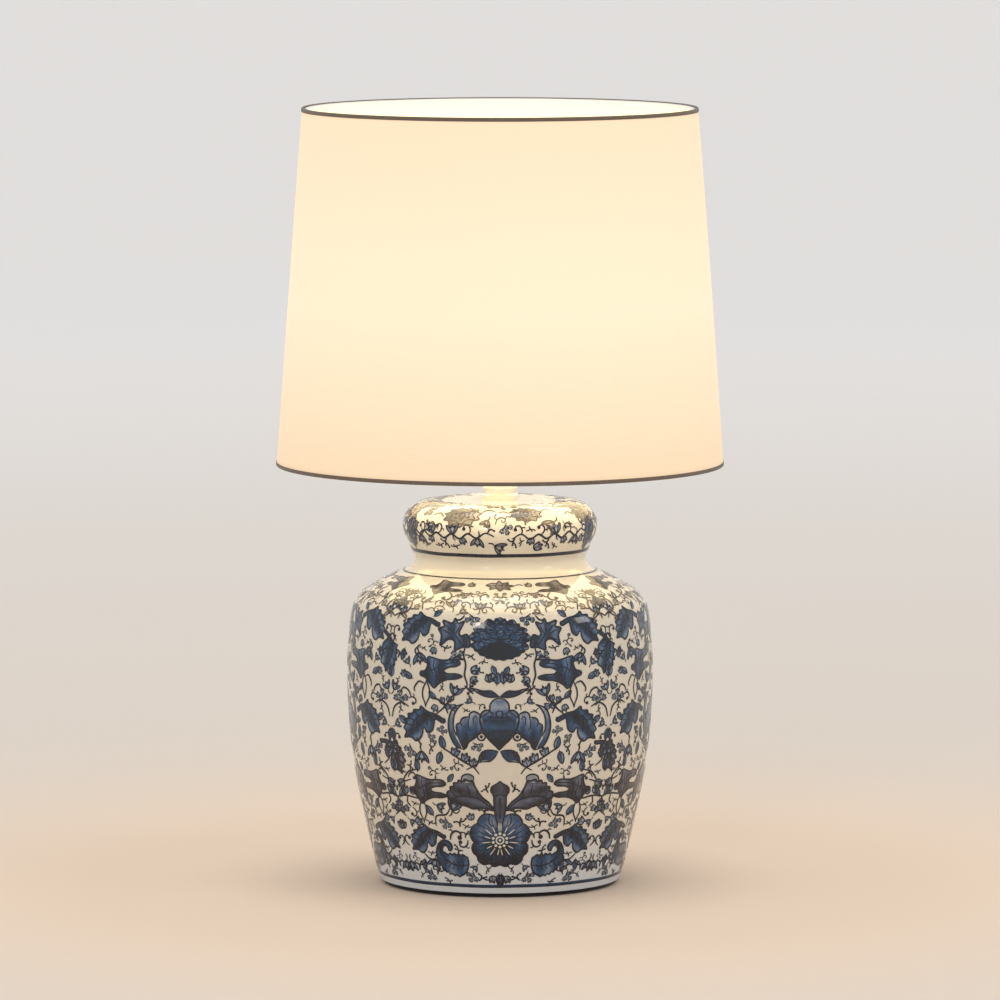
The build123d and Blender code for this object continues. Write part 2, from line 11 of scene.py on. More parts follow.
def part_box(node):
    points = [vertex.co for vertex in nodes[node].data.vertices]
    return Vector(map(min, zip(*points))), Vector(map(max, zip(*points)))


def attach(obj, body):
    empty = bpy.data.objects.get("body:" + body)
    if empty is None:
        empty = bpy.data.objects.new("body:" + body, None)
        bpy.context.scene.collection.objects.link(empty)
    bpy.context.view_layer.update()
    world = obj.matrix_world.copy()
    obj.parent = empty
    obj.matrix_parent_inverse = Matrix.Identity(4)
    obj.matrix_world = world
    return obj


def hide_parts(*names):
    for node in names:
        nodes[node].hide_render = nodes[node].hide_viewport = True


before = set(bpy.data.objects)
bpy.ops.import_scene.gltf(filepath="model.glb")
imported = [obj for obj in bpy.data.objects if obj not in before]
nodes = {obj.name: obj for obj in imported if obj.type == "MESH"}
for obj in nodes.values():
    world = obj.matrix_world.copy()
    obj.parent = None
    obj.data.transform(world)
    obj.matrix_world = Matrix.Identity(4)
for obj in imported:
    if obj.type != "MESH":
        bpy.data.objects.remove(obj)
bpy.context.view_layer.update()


# ---- Felt pad ---------------------------------------------------------------------------------------------
# A disc of black pressed felt glued under the jar's foot, so that the glazed rim doesn't mark the table.
# It is cut with a knife, so its edge is square and slightly fuzzy.

class Signal:
    """One output socket of a finish, so that a sum or product of two outputs can be written as it reads."""

    def __init__(self, finish, socket):
        self.finish = finish
        self.socket = socket

    def combine(self, operation, first, second):
        return self.finish.node("ShaderNodeMath", {"operation": operation}, {0: first, 1: second})

    def __add__(self, other):
        return self.combine("ADD", self, other)

    def __radd__(self, other):
        return self.combine("ADD", other, self)

    def __sub__(self, other):
        return self.combine("SUBTRACT", self, other)

    def __rsub__(self, other):
        return self.combine("SUBTRACT", other, self)

    def __mul__(self, other):
        return self.combine("MULTIPLY", self, other)

    def __rmul__(self, other):
        return self.combine("MULTIPLY", other, self)

    def above(self, level):
        return self.combine("GREATER_THAN", self, level)


class Finish:
    """A surface finish: one Principled shader, and the nodes that vary it over the piece."""

    def __init__(self, name, constants):
        self.material = bpy.data.materials.new(name)
        self.material.use_nodes = True
        self.tree = self.material.node_tree
        self.tree.nodes.clear()
        self.shader = self.tree.nodes.new("ShaderNodeBsdfPrincipled")
        output = self.tree.nodes.new("ShaderNodeOutputMaterial")
        self.tree.links.new(self.shader.outputs[0], output.inputs[0])
        for socket, value in constants.items():
            self.shader.inputs[socket].default_value = value

    def node(self, kind, settings=None, sockets=None, output=0):
        """Adds one node: its settings first, then its sockets' values or links. Returns one output."""
        made = self.tree.nodes.new(kind)
        for setting, value in (settings or {}).items():
            if setting == "stops":
                self.set_stops(made.color_ramp, value)
            else:
                setattr(made, setting, value)
        for socket, value in (sockets or {}).items():
            if isinstance(value, Signal):
                self.tree.links.new(value.socket, made.inputs[socket])
            else:
                made.inputs[socket].default_value = value
        return Signal(self, made.outputs[output])

    @staticmethod
    def set_stops(ramp, stops):
        while len(ramp.elements) < len(stops):
            ramp.elements.new(1.0)
        for element, (place, colour) in zip(ramp.elements, stops):
            element.position = place
            element.color = (*colour, 1)

    def vary(self, socket, signal):
        self.tree.links.new(signal.socket, self.shader.inputs[socket])

    def place(self):
        """The point on the piece, in metres."""
        return self.node("ShaderNodeTexCoord", output="Object")

    def height(self):
        return self.node("ShaderNodeSeparateXYZ", None, {0: self.place()}, output="Z")

    def noise(self, scale, detail=3.0, roughness=0.5, where=None):
        sockets = {"Vector": where or self.place(), "Scale": scale, "Detail": detail, "Roughness": roughness}
        return self.node("ShaderNodeTexNoise", {"noise_dimensions": "3D"}, sockets)

    def stretched(self, factors):
        """The place on the piece, scaled along each axis, for a grain that runs one way."""
        return self.node("ShaderNodeVectorMath", {"operation": "MULTIPLY"}, {0: self.place(), 1: factors})

    def blend(self, share, first, second):
        """A colour between two others; share 0 is the first."""
        colours = [c if isinstance(c, Signal) else (*c, 1) for c in (first, second)]
        sockets = {0: share, 6: colours[0], 7: colours[1]}
        return self.node("ShaderNodeMix", {"data_type": "RGBA"}, sockets, output=2)

    def bump(self, height, strength, distance):
        sockets = {"Height": height, "Strength": strength, "Distance": distance}
        self.vary("Normal", self.node("ShaderNodeBump", None, sockets))

    def mottle(self, grain, colours, roughness=None, bump=None):
        """Lets one grain vary the colour between two, the roughness by a share and a base, and the relief."""
        self.vary("Base Color", self.blend(grain, *colours))
        if roughness:
            self.vary("Roughness", grain * roughness[0] + roughness[1])
        if bump:
            self.bump(grain, *bump)

    def dress(self, *pieces):
        """Puts the finish on made pieces, or on nodes given by name."""
        for piece in pieces:
            mesh = (nodes[piece] if isinstance(piece, str) else piece).data
            mesh.materials.clear()
            mesh.materials.append(self.material)


def make_piece(name, points, faces, smooth=True):
    """A new mesh object of this name, from points in metres and faces by point number."""
    mesh = bpy.data.meshes.new(name)
    mesh.from_pydata([tuple(point) for point in points], [], [tuple(face) for face in faces])
    mesh.update()
    mesh.polygons.foreach_set("use_smooth", [smooth] * len(mesh.polygons))
    piece = bpy.data.objects.new(name, mesh)
    bpy.context.scene.collection.objects.link(piece)
    return piece


def turned(name, profile, segments, waver=None, closed=False, smooth=True):
    """Turns a profile of (radius, height) round the lamp's axis. A closed profile joins its end to its start.
    waver gives how far out a point moves, from its place in the profile and its angle."""
    points, rings, faces = [], [], []
    for place, (radius, height) in enumerate(profile):
        count = segments if radius else 1
        rings.append([len(points) + step % count for step in range(segments)])
        for angle in numpy.arange(count) * (2 * math.pi / segments):
            edge = radius + (waver(place, angle) if waver else 0)
            points.append((edge * math.sin(angle), -edge * math.cos(angle), height))
    for low, high in zip(rings, rings[1:] + rings[:1] if closed else rings[1:]):
        for step in range(segments):
            ahead = (step + 1) % segments
            corners = (low[step], low[ahead], high[ahead], high[step])
            faces.append(tuple(dict.fromkeys(corners)))
    return make_piece(name, points, faces, smooth)


pad_low, pad_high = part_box("base_pad")
PAD_RADIUS = pad_high.x
PAD_FUZZ = 0.0002
PAD_BEVEL = 0.0006
PAD_SEGMENTS = 160
pad_profile = [(PAD_RADIUS * share, pad_low.z) for share in (0, 0.25, 0.5, 0.75, 0.99)]
pad_profile += [(PAD_RADIUS, pad_low.z + PAD_BEVEL), (PAD_RADIUS, pad_high.z - PAD_BEVEL)]
pad_profile += [(PAD_RADIUS * share, pad_high.z) for share in (0.99, 0.75, 0.5, 0.25, 0)]
FUZZY_PLACES = (4, 5, 6, 7)
fuzz = numpy.random.RandomState(3).uniform(-PAD_FUZZ, 0, (len(pad_profile), PAD_SEGMENTS))


def cut_edge(place, angle):
    """The fuzz where the knife cut the disc out."""
    return fuzz[place - 1][round(angle * PAD_SEGMENTS / (2 * math.pi))] if place in FUZZY_PLACES else 0


felt_pad = turned("felt_pad", pad_profile, PAD_SEGMENTS, cut_edge, smooth=False)

felt = Finish("black_felt", {"Roughness": 0.95, "Sheen Weight": 0.25, "Specular IOR Level": 0.2})
fibres = felt.noise(900, 5, 0.7)
matting = felt.noise(140, 3)
felt.mottle(fibres * 0.6 + matting * 0.4, [(0.006, 0.006, 0.007), (0.030, 0.029, 0.030)])
felt.bump(fibres, 0.6, 0.0004)
felt.dress(felt_pad)
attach(felt_pad, "lamp")
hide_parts("base_pad")


# ---- Jar --------------------------------------------------------------------------------------------------
# A slip-cast stoneware ginger jar with a rounded shoulder and a short plain neck. It is fired with a warm
# milky glaze, which pools to a cooler white above the foot and carries a few iron specks.

def glaze_finish(name, pool_from, pool_to):
    glaze = Finish(name, {"Specular IOR Level": 0.5, "Coat Weight": 0.3, "Coat Roughness": 0.04})
    cloud = glaze.noise(22, 3)
    mottle = glaze.noise(160, 4, 0.6)
    milky = glaze.blend(cloud, (0.64, 0.59, 0.49), (0.74, 0.685, 0.58))
    pooled = glaze.node("ShaderNodeMapRange", {"interpolation_type": "SMOOTHSTEP"},
                        {"Value": glaze.height(), 1: pool_from, 2: pool_to, 3: 1.0, 4: 0.0})
    cooled = glaze.blend(pooled, milky, (0.66, 0.70, 0.74))
    speck = glaze.node("ShaderNodeTexVoronoi", {"feature": "F1"},
                       {"Vector": glaze.place(), "Scale": 55.0, "Randomness": 1.0})
    specks = (0.025 - speck).above(0.0) * 0.35
    glaze.vary("Base Color", glaze.blend(specks, cooled, (0.22, 0.16, 0.10)))
    glaze.vary("Roughness", mottle * 0.06 + 0.05)
    glaze.bump(cloud * 0.7 + mottle * 0.3, 0.12, 0.0008)
    return glaze


jar_glaze = glaze_finish("jar_glaze", 0.004, 0.060)
jar_glaze.dress("jar_body")


# ---- Painting on the jar ----------------------------------------------------------------------------------
# Under the glaze the jar is painted by hand in cobalt: pale and dark washes for leaves and blossoms, then
# thin dark pen strokes round them. One half panel is repeated and mirrored eight times round the wall.

MM = 0.001


class TurnedSurface:
    """The outside of a turned pot, read from its node: where each height of its wall is, and how it faces."""

    def __init__(self, node, hub, first, last):
        corners = numpy.array([vertex.co for vertex in node.data.vertices]) / MM
        facings = numpy.array([vertex.normal for vertex in node.data.vertices])
        radius = numpy.hypot(corners[:, 0], corners[:, 1])
        faces_out = (facings[:, :2] * corners[:, :2]).sum(1) / numpy.maximum(radius, 0.1)
        out = radius - hub[0]
        up = corners[:, 2] - hub[1]
        outside = faces_out * out + facings[:, 2] * up > 0.2 * numpy.hypot(out, up)
        bearing = numpy.degrees(numpy.arctan2(up, out))
        reach = numpy.hypot(out, up)
        wall = []
        for low in numpy.arange(first, last, 1.0):
            inside = numpy.flatnonzero(outside & (bearing >= low) & (bearing < low + 1.0))
            if len(inside):
                best = inside[reach[inside].argmax()]
                wall.append((out[best] + hub[0], up[best] + hub[1]))
        wall = numpy.array(wall)
        self.along = numpy.concatenate([[0], numpy.cumsum(numpy.hypot(*numpy.diff(wall, axis=0).T))])
        self.radius = wall[:, 0]
        self.height = wall[:, 1]

    def radius_at(self, along):
        return numpy.interp(along, self.along, self.radius)

    def height_at(self, along):
        return numpy.interp(along, self.along, self.height)

    def along_at(self, height):
        return float(numpy.interp(height, self.height, self.along))

    def lay(self, turns, along, lift):
        """Points in metres, and their facings, for turns from the front and lengths up the wall in mm."""
        span = 3.0
        rise = self.height_at(along + span) - self.height_at(along - span)
        flare = self.radius_at(along + span) - self.radius_at(along - span)
        size = numpy.maximum(numpy.hypot(rise, flare), 1e-6)
        outward, upward = rise / size, -flare / size
        radius = self.radius_at(along) + lift * outward
        height = self.height_at(along) + lift * upward
        across, facing = numpy.sin(turns), -numpy.cos(turns)
        points = numpy.stack([radius * across, radius * facing, height], 1) * MM
        facings = numpy.stack([outward * across, outward * facing, upward], 1)
        return points, facings


def through(points, closed=False, step=0.8):
    """A smooth line through the points, with a point about every step millimetres."""
    points = numpy.array(points, float)
    if closed:
        ring = numpy.vstack([points[-1:], points, points[:2]])
    else:
        ring = numpy.vstack([2 * points[0] - points[1], points, 2 * points[-1] - points[-2]])
    line = []
    for before, start, end, after in zip(ring, ring[1:], ring[2:], ring[3:]):
        count = max(2, int(numpy.hypot(*(end - start)) / step))
        for share in numpy.arange(count) / count:
            line.append(0.5 * (2 * start + (end - before) * share
                               + (2 * before - 5 * start + 4 * end - after) * share ** 2
                               + (3 * start - before - 3 * end + after) * share ** 3))
    if not closed:
        line.append(points[-1])
    return numpy.array(line)


def within(outline, spots):
    """Which of the spots lie inside the outline, and more than half a millimetre from its points."""
    after = numpy.roll(outline, -1, axis=0)
    crossings = numpy.zeros(len(spots), int)
    for (ax, ay), (bx, by) in zip(outline, after):
        if ay != by:
            spans = (spots[:, 1] >= min(ay, by)) & (spots[:, 1] < max(ay, by))
            meet = ax + (spots[:, 1] - ay) * (bx - ax) / (by - ay)
            crossings += spans & (spots[:, 0] < meet)
    gap = numpy.hypot(spots[:, None, 0] - outline[None, :, 0], spots[:, None, 1] - outline[None, :, 1]).min(1)
    return spots[(crossings % 2 == 1) & (gap > 0.5)]


PEN_WEIGHT = 1.3
FILL_STEP = 2.2


class Motif:
    """Part of the pattern, drawn flat in millimetres: patches of wash, pen strokes, and bare reserves."""

    def __init__(self):
        self.patches = {"wash": [], "pen": [], "reserve": []}

    def fill(self, line, tone):
        """Fills a closed line with wash. tone gives its strength, 0 palest to 1 darkest, from x and y."""
        low, high = line.min(0), line.max(0)
        grid = numpy.mgrid[low[0]:high[0]:FILL_STEP, low[1]:high[1]:FILL_STEP].reshape(2, -1).T
        spots = within(line, grid) if len(grid) else grid
        corners = [Vector(point) for point in numpy.vstack([line, spots])]
        made = delaunay_2d_cdt(corners, [], [list(range(len(line)))], 1, 0.01)
        points = numpy.array([tuple(point) for point in made[0]])
        tones = numpy.array([tone(x, y) if callable(tone) else tone for x, y in points])
        self.patches["wash"].append((points, [tuple(face) for face in made[2]], tones))

    def wash(self, outline, tone):
        self.fill(through(outline, closed=True), tone)

    def half_wash(self, outline, tone):
        """A wash that ends on the mirror line: smooth through its points, and straight from last to first."""
        self.fill(through(outline), tone)

    def pen(self, points, width=0.8, closed=False, layer="pen"):
        """A stroke that swells in the middle and thins at its ends; a closed stroke keeps its width."""
        line = through(points, closed)
        share = numpy.linspace(0, 1, len(line))
        if closed:
            line = numpy.vstack([line, line[:1]])
            share = numpy.linspace(0, 1, len(line))
            swell = 1 + 0.18 * numpy.sin(7 * math.pi * share) * numpy.sin(math.pi * share)
        else:
            swell = 0.5 + 0.5 * numpy.sin(math.pi * share) ** 0.6
        breadth = PEN_WEIGHT * width / 2 * swell
        run = numpy.gradient(line, axis=0)
        run /= numpy.maximum(numpy.hypot(run[:, 0], run[:, 1]), 1e-6)[:, None]
        side = numpy.stack([-run[:, 1], run[:, 0]], 1) * breadth[:, None]
        count = len(line)
        faces = [(count + i, count + i + 1, i + 1, i) for i in range(count - 1)]
        self.patches[layer].append((numpy.vstack([line + side, line - side]), faces, numpy.ones(2 * count)))

    def pens(self, strokes):
        """Strokes given as pairs of a width and its points, in the order that they are drawn."""
        for width, points in strokes:
            self.pen(points, width)

    def outlined(self, outline, tone, width=0.9):
        self.wash(outline, tone)
        self.pen(outline, width, closed=True)

    def dot(self, x, y, radius, layer="pen"):
        angles = numpy.linspace(0, 2 * math.pi, 9)[:-1]
        line = numpy.stack([x + radius * numpy.cos(angles), y + radius * numpy.sin(angles)], 1)
        points = numpy.vstack([[[x, y]], line])
        faces = [(0, 1 + i, 1 + (i + 1) % 8) for i in range(8)]
        self.patches[layer].append((points, faces, numpy.ones(9)))

    def loop(self, x, y, radius, width=0.6, layer="pen"):
        angles = numpy.linspace(0, 2 * math.pi, 9)[:-1]
        self.pen([(x + radius * math.cos(a), y + radius * math.sin(a)) for a in angles], width, True, layer)

    def add(self, other, x, y, turn=0.0, size=1.0, flip=1):
        """Draws another motif into this one, mirrored first where flip is -1."""
        angle = math.radians(turn)
        for layer, patches in other.patches.items():
            for points, faces, tones in patches:
                local = points * (size * flip, size)
                turned = numpy.stack([local[:, 0] * math.cos(angle) - local[:, 1] * math.sin(angle) + x,
                                      local[:, 0] * math.sin(angle) + local[:, 1] * math.cos(angle) + y], 1)
                self.patches[layer].append((turned, [f[::flip] for f in faces], tones))

    def both_sides(self):
        """This half motif with its mirror image."""
        whole = Motif()
        for flip in (1, -1):
            whole.add(self, 0, 0, flip=flip)
        return whole


PANELS = (0, 90, 180, 270)


class Painting:
    """All that is painted on one turned surface, gathered by layer and then made into one piece per layer."""

    LIFT = {"wash": 0.10, "pen": 0.20, "reserve": 0.28}

    def __init__(self, surface, seed, radius, grey=0.0):
        self.surface = surface
        self.radius = radius
        self.grey = grey
        self.hand = numpy.random.RandomState(seed)
        self.layers = {layer: [] for layer in self.LIFT}
        self.marks = []

    def put(self, motif, degrees, along, turn=0, size=1.0, flip=1, loose=1.0, radius=None, grey=None):
        """Paints a motif at so many degrees from the front and so many mm up the wall, a little off true."""
        wander = self.hand.uniform(-1, 1, 4) * loose
        angle = math.radians(turn + 2.0 * wander[0])
        scale = size * (1 + 0.03 * wander[1])
        grey = self.grey if grey is None else grey
        radius = radius or float(self.surface.radius_at(along))
        for layer, patches in motif.patches.items():
            for points, faces, tones in patches:
                local = points * (scale * flip, scale)
                across = local[:, 0] * math.cos(angle) - local[:, 1] * math.sin(angle) + 0.4 * wander[2]
                up = local[:, 0] * math.sin(angle) + local[:, 1] * math.cos(angle) + 0.4 * wander[3]
                turns = math.radians(degrees) + across / radius
                self.marks.append(numpy.stack([turns * self.radius, along + up], 1))
                lift = self.LIFT[layer] + 0.0004 * (len(self.layers[layer]) % 60)
                self.layers[layer].append((*self.surface.lay(turns, along + up, lift),
                                           [f[::flip] for f in faces],
                                           numpy.stack([tones, numpy.full(len(tones), grey)], 1)))

    def repeat(self, motif, degrees, along, turn=0, size=1.0, sides=(1, -1), **more):
        """Paints a motif in each of the four panels, and its mirror image on the other side of each."""
        for panel in PANELS:
            for side in sides:
                self.put(motif, panel + side * degrees, along, side * turn, size, side, **more)

    def piece(self, layer, name, slot, finish):
        """Makes one layer's piece. Its attribute carries how strong its colour is, and how grey."""
        points, facings, faces, tones = [], [], [], []
        for patch_points, patch_facings, patch_faces, patch_tones in self.layers[layer]:
            first = len(tones)
            points.extend(patch_points)
            facings.extend(patch_facings)
            tones.extend(patch_tones)
            faces.extend(tuple(first + corner for corner in face) for face in patch_faces)
        made = make_piece(name, points, faces)
        made.data.normals_split_custom_set_from_vertices([tuple(facing) for facing in facings])
        strength = made.data.color_attributes.new("strength", "FLOAT_COLOR", "POINT")
        strength.data.foreach_set("color", numpy.pad(numpy.array(tones, float), ((0, 0), (0, 2))).ravel())
        finish.dress(made)
        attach(made, "lamp")


def toothed(start, end, bulge, count, depth):
    """Points of a saw-toothed edge: an arc from start to end that swells by bulge, with count teeth."""
    start, end = numpy.array(start, float), numpy.array(end, float)
    run = end - start
    normal = numpy.array([-run[1], run[0]]) / numpy.hypot(*run)
    points = []
    for tooth in range(count):
        for share, stick in ((0.25, 0.0), (0.85, depth)):
            place = (tooth + share) / count
            points.append(tuple(start + run * place + normal * (bulge * math.sin(math.pi * place) + stick)))
    return points


# Curled leaf: it springs from a stub, swells into a toothed back, and curls over into two lobes.
curled_leaf = Motif()
curled_leaf.outlined([(-17.3, 3.7), (-11.6, 6.6), (-6.6, 7.7), (-3.7, 9.1), (-0.8, 11.1), (0.4, 8.6),
                      (4.6, 8.3), (5.0, 6.1), (9.1, 4.9), (8.5, 2.7), (12, 0.8), (10.6, -1.5), (12.5, -4.4),
                      (10.6, -6.6), (12, -10.4), (8.7, -9.9), (5.8, -10.2), (2.9, -11.9), (-0.4, -9.9),
                      (-2.1, -6.6), (-2.5, -3.7), (-3.7, -2.9), (-5, -5.1), (-6.6, -5.9), (-9.5, -3.7),
                      (-10.4, 0), (-11.6, 3.7), (-16.6, 1.5)],
                     lambda x, y: 0.64 + 0.016 * y + 0.28 * math.cos(0.42 * (x + y)) * (x > -8))
curled_leaf.pen([(-12, 5), (-5, 5.5), (2, 3.5), (5.5, -2), (6.0, -8.5)], 0.9)
for (ax, ay), (bx, by) in [((-4, 5.4), (-2.5, 8.5)), ((1, 4.2), (3.4, 7.4)), ((4, 1.2), (8, 3.2)),
                           ((5.4, -2.2), (9.6, -1.4)), ((5.8, -5.4), (10, -6.4)), ((-3.5, 5.2), (-6.5, -1.5)),
                           ((2.2, 3), (1.2, -6.0))]:
    curled_leaf.pen([(ax, ay), ((ax + bx) / 2 + 0.5, (ay + by) / 2), (bx, by)], 0.6)
curled_leaf.pen([(-17.6, 4.6), (-18.2, 2.6), (-16.8, 1.2)], 1.2)

# Tulip leaf: two long lobes point towards the panel's middle, and the body ends in a point below.
tulip_leaf = Motif()
tulip_leaf.outlined([(-14.4, 6.2), (-10.7, 8.6), (-1.6, 7.7), (6.6, 9.5), (9.2, 9.1), (8.9, 5.1), (10.7, 0.4),
                     (14.4, -0.7), (14.4, -2.9), (10.7, -4.4), (7.4, -8.1), (4.1, -11.1), (0.8, -8.1),
                     (-4.9, -5.1), (-11.5, -4.4), (-15.7, -2.6), (-11.5, -1.1), (-4.9, -1.1), (-2.9, 1.1),
                     (-6.6, 3.3), (-11.5, 4)],
                    lambda x, y: 0.66 - 0.022 * y + 0.26 * math.cos(0.55 * x + 0.6))
for vein in ([(-12, 6.6), (-3, 5.2), (4, 2), (9.5, -2)], [(-12, -2.8), (-4, -3.2), (3, -2.4)],
             [(4, 8.2), (4.6, 3), (2.5, -3), (3.6, -9)], [(7.6, 7), (7.4, 2.5), (4.8, -1.5)],
             [(0.5, 5.5), (0.8, 0), (-1.5, -3.8)]):
    tulip_leaf.pen(vein, 0.6)

# Five-point leaf beside the chrysanthemum, with one lobe that leans over it.
star_leaf = Motif()
star_leaf.outlined([(-9.8, 0), (-5.8, -0.8), (-4.2, 1.5), (-7.3, 8.4), (-3.3, 7.3), (-1.2, 10.6), (0.8, 7.3),
                    (7, 8.8), (5.8, 5.1), (10, 3.7), (7.8, -0.8), (8.4, -7), (4.1, -3.7), (0.8, -2.9),
                    (-1.6, -5.1), (-1.6, -9.9), (-6.6, -8), (-11.5, -7.3)],
                   lambda x, y: 0.58 - 0.012 * y + 0.22 * math.sin(0.7 * x + 1))
for vein in ([(-6, -6.5), (-3, -2), (-0.6, 2), (-1.2, 7.5)], [(-2, 0.5), (-4.6, 6)], [(0, 0.8), (4.8, 6.2)],
             [(0.6, 0), (7, 3)], [(0.5, -1), (6.6, -3.8)]):
    star_leaf.pen(vein, 0.6)

# Chrysanthemum: rings of pointed petals over a dark lower crescent.
BLOSSOM_WIDE = 20.0
BLOSSOM_HIGH = 14.5


def petal_tip(angle, share):
    lift = 1.0 if math.sin(angle) > 0 else 0.95
    return (BLOSSOM_WIDE * share * math.cos(angle), BLOSSOM_HIGH * share * math.sin(angle) * lift)


chrysanthemum = Motif()
RIM_PETALS = 22
rim = []
for number in range(RIM_PETALS):
    angle = 2 * math.pi * number / RIM_PETALS
    notch = 0.03 if math.sin(angle) < -0.3 else 0.14
    rim += [petal_tip(angle - math.pi / RIM_PETALS, 0.98 - notch), petal_tip(angle, 1.0)]
chrysanthemum.outlined(rim, 0.97, 1.0)


def petal_tone(base, tip):
    """Dark at the petal's base and watery towards its tip."""
    return lambda x, y: 0.74 - 0.50 * (math.hypot(x / BLOSSOM_WIDE, y / BLOSSOM_HIGH) - base) / (tip - base)


for base, tip, around in ((0.58, 1.06, 9), (0.32, 0.78, 7), (0.08, 0.48, 5)):
    for number in range(around):
        half = math.radians(252) / around / 2
        angle = math.radians(-36) + half * (2 * number + 1)
        lean = angle + 0.3 * half * math.sin(2.3 * number)
        middle = 0.6 * tip + 0.4 * base
        chrysanthemum.outlined([petal_tip(angle - 0.55 * half, base), petal_tip(angle - 0.95 * half, middle),
                                petal_tip(lean, tip), petal_tip(angle + 0.95 * half, middle),
                                petal_tip(angle + 0.55 * half, base)], petal_tone(base, tip), 0.45)

# Palmette with outspread wings: a lobed cap over a deep blue body, scalloped wings and long side horns.
half_wing = Motif()
BODY_EDGE = [(0, 17.4), (3.6, 16.4), (6.1, 13.2), (6.6, 9.4), (9.4, 9.2), (12.0, 7.0), (12.9, 3.4),
             (12.2, -1.4), (10.0, -6.0), (7, -10.4), (3.4, -14), (0, -17.6)]
half_wing.half_wash(BODY_EDGE, lambda x, y: 0.12 + 0.50 / (1 + math.exp(1.1 * (y - 6.5)))
                    + 0.32 / (1 + math.exp(0.8 * (y + 7))) + 0.10 * math.sin(0.9 * y))
half_wing.pens([
    (1.0, BODY_EDGE),
    (0.8, [(6.6, 9.6), (5.4, 7.6), (3.6, 7.2)]),
    (0.7, [(12.6, 4.8), (10.6, 5.4), (8.4, 7.0), (6.4, 8.6)]),
    (0.6, [(3.6, 7.2), (5.2, 5.2), (8, 4.4)]),
    (0.6, [(0, 3.8), (3.5, 4.6), (7, 3.2), (10.5, 1.5)]),
    (0.5, [(0, -4.5), (5, -5.2), (8.6, -7)]),
    (0.9, [(0, 9.0), (1.8, 8.2), (2.2, 6.6), (1.6, 5), (0, 4.4)])])
half_wing.wash([(11.5, 3.5), (13.6, 6.6), (17, 8.2), (19.6, 6.4), (20.6, 3.6), (22.4, 4.2), (24.4, 3.6),
                (26.2, 1.4), (28.6, -1), (29.4, -5.5), (27.2, -12), (23.9, -17.8), (21.8, -15.6),
                (20.4, -12.4), (15.2, -8.6), (11.2, -5.2)],
               lambda x, y: 0.34 - 0.042 * y + 0.14 * math.sin(0.9 * x))
half_wing.pens([
    (0.9, [(11.8, 4), (13.6, 6.8), (17, 8.2), (19.8, 6.4), (20.2, 2.6)]),
    (0.9, [(20.2, 4.4), (22.4, 4.4), (24.8, 3.4), (26, 0.8), (25, -2)]),
    (0.8, [(25.8, 0.8), (28.6, -0.8), (29, -3.2), (27.4, -5.4)]),
    (0.6, [(14.5, 3), (16, 5.4), (17.4, 3.2), (17, -1)]),
    (0.6, [(20.4, 3), (20.8, -1.5), (19, -5)]),
    (1.0, [(11.5, -3), (15, -8.3), (20.6, -12.6), (22, -15.8), (23.9, -17.8)])])
half_wing.wash([(23.9, 13.4), (27.6, 10.2), (31, 5), (31.4, -3), (29.6, -9), (25.6, -16.4), (29.8, -14.6),
                (33.2, -8), (34.4, 0), (32.2, 8.4), (28.4, 12)], lambda x, y: 0.30 - 0.02 * y)
half_wing.pens([
    (1.0, [(23.9, 13.2), (28.8, 11.4), (32.2, 8.4), (34.4, 0), (33.4, -8), (29.8, -15), (23.9, -17.8)]),
    (0.9, [(23.9, 13.2), (27.4, 10.4), (30.4, 5), (30.9, -2.8), (29, -8.6)])])
half_wing.loop(12, -8.6, 2.6, 0.9)
half_wing.dot(12, -8.6, 1.2)
half_wing.pen([(12.6, -6), (15.5, -7), (18, -9.8)], 0.9)
half_wing.wash([(1.2, -19), (5, -17.8), (9.6, -18.4), (12.8, -21.4), (13.4, -25.6), (10.4, -24.6), (6, -24.8),
                (3.4, -22.6)], lambda x, y: 0.52 + 0.02 * x)
half_wing.pens([
    (0.9, [(0.8, -18.4), (5, -17.6), (9.8, -18.2), (13, -21.4), (14.4, -26.5), (18, -29), (22.6, -31.4)]),
    (0.8, [(0.8, -18.4), (3.2, -22.6), (6.4, -25.2), (10, -25.4), (13.6, -26.2)])])
half_wing.loop(10.8, -20.2, 1.5, 0.7)
half_wing.wash([(1.2, 18.6), (5.4, 21.6), (11, 21.8), (16.2, 23.6), (11.4, 19.6), (6, 18.2)], 0.72)
half_wing.pens([
    (0.9, [(0, 18.2), (5.4, 22), (11, 22), (18.4, 23.6), (20.4, 21.2)]),
    (0.9, [(0, 18.2), (6, 18), (11.6, 19.4), (18.4, 23.6), (19.6, 26.4), (17.4, 27.6)]),
    (0.5, [(3.4, 19.8), (9, 20.4), (14, 21.8)])])
half_wing.dot(17.2, 27.8, 1.3)
half_wing.dot(20.8, 20.2, 1.1)
palmette = half_wing.both_sides()

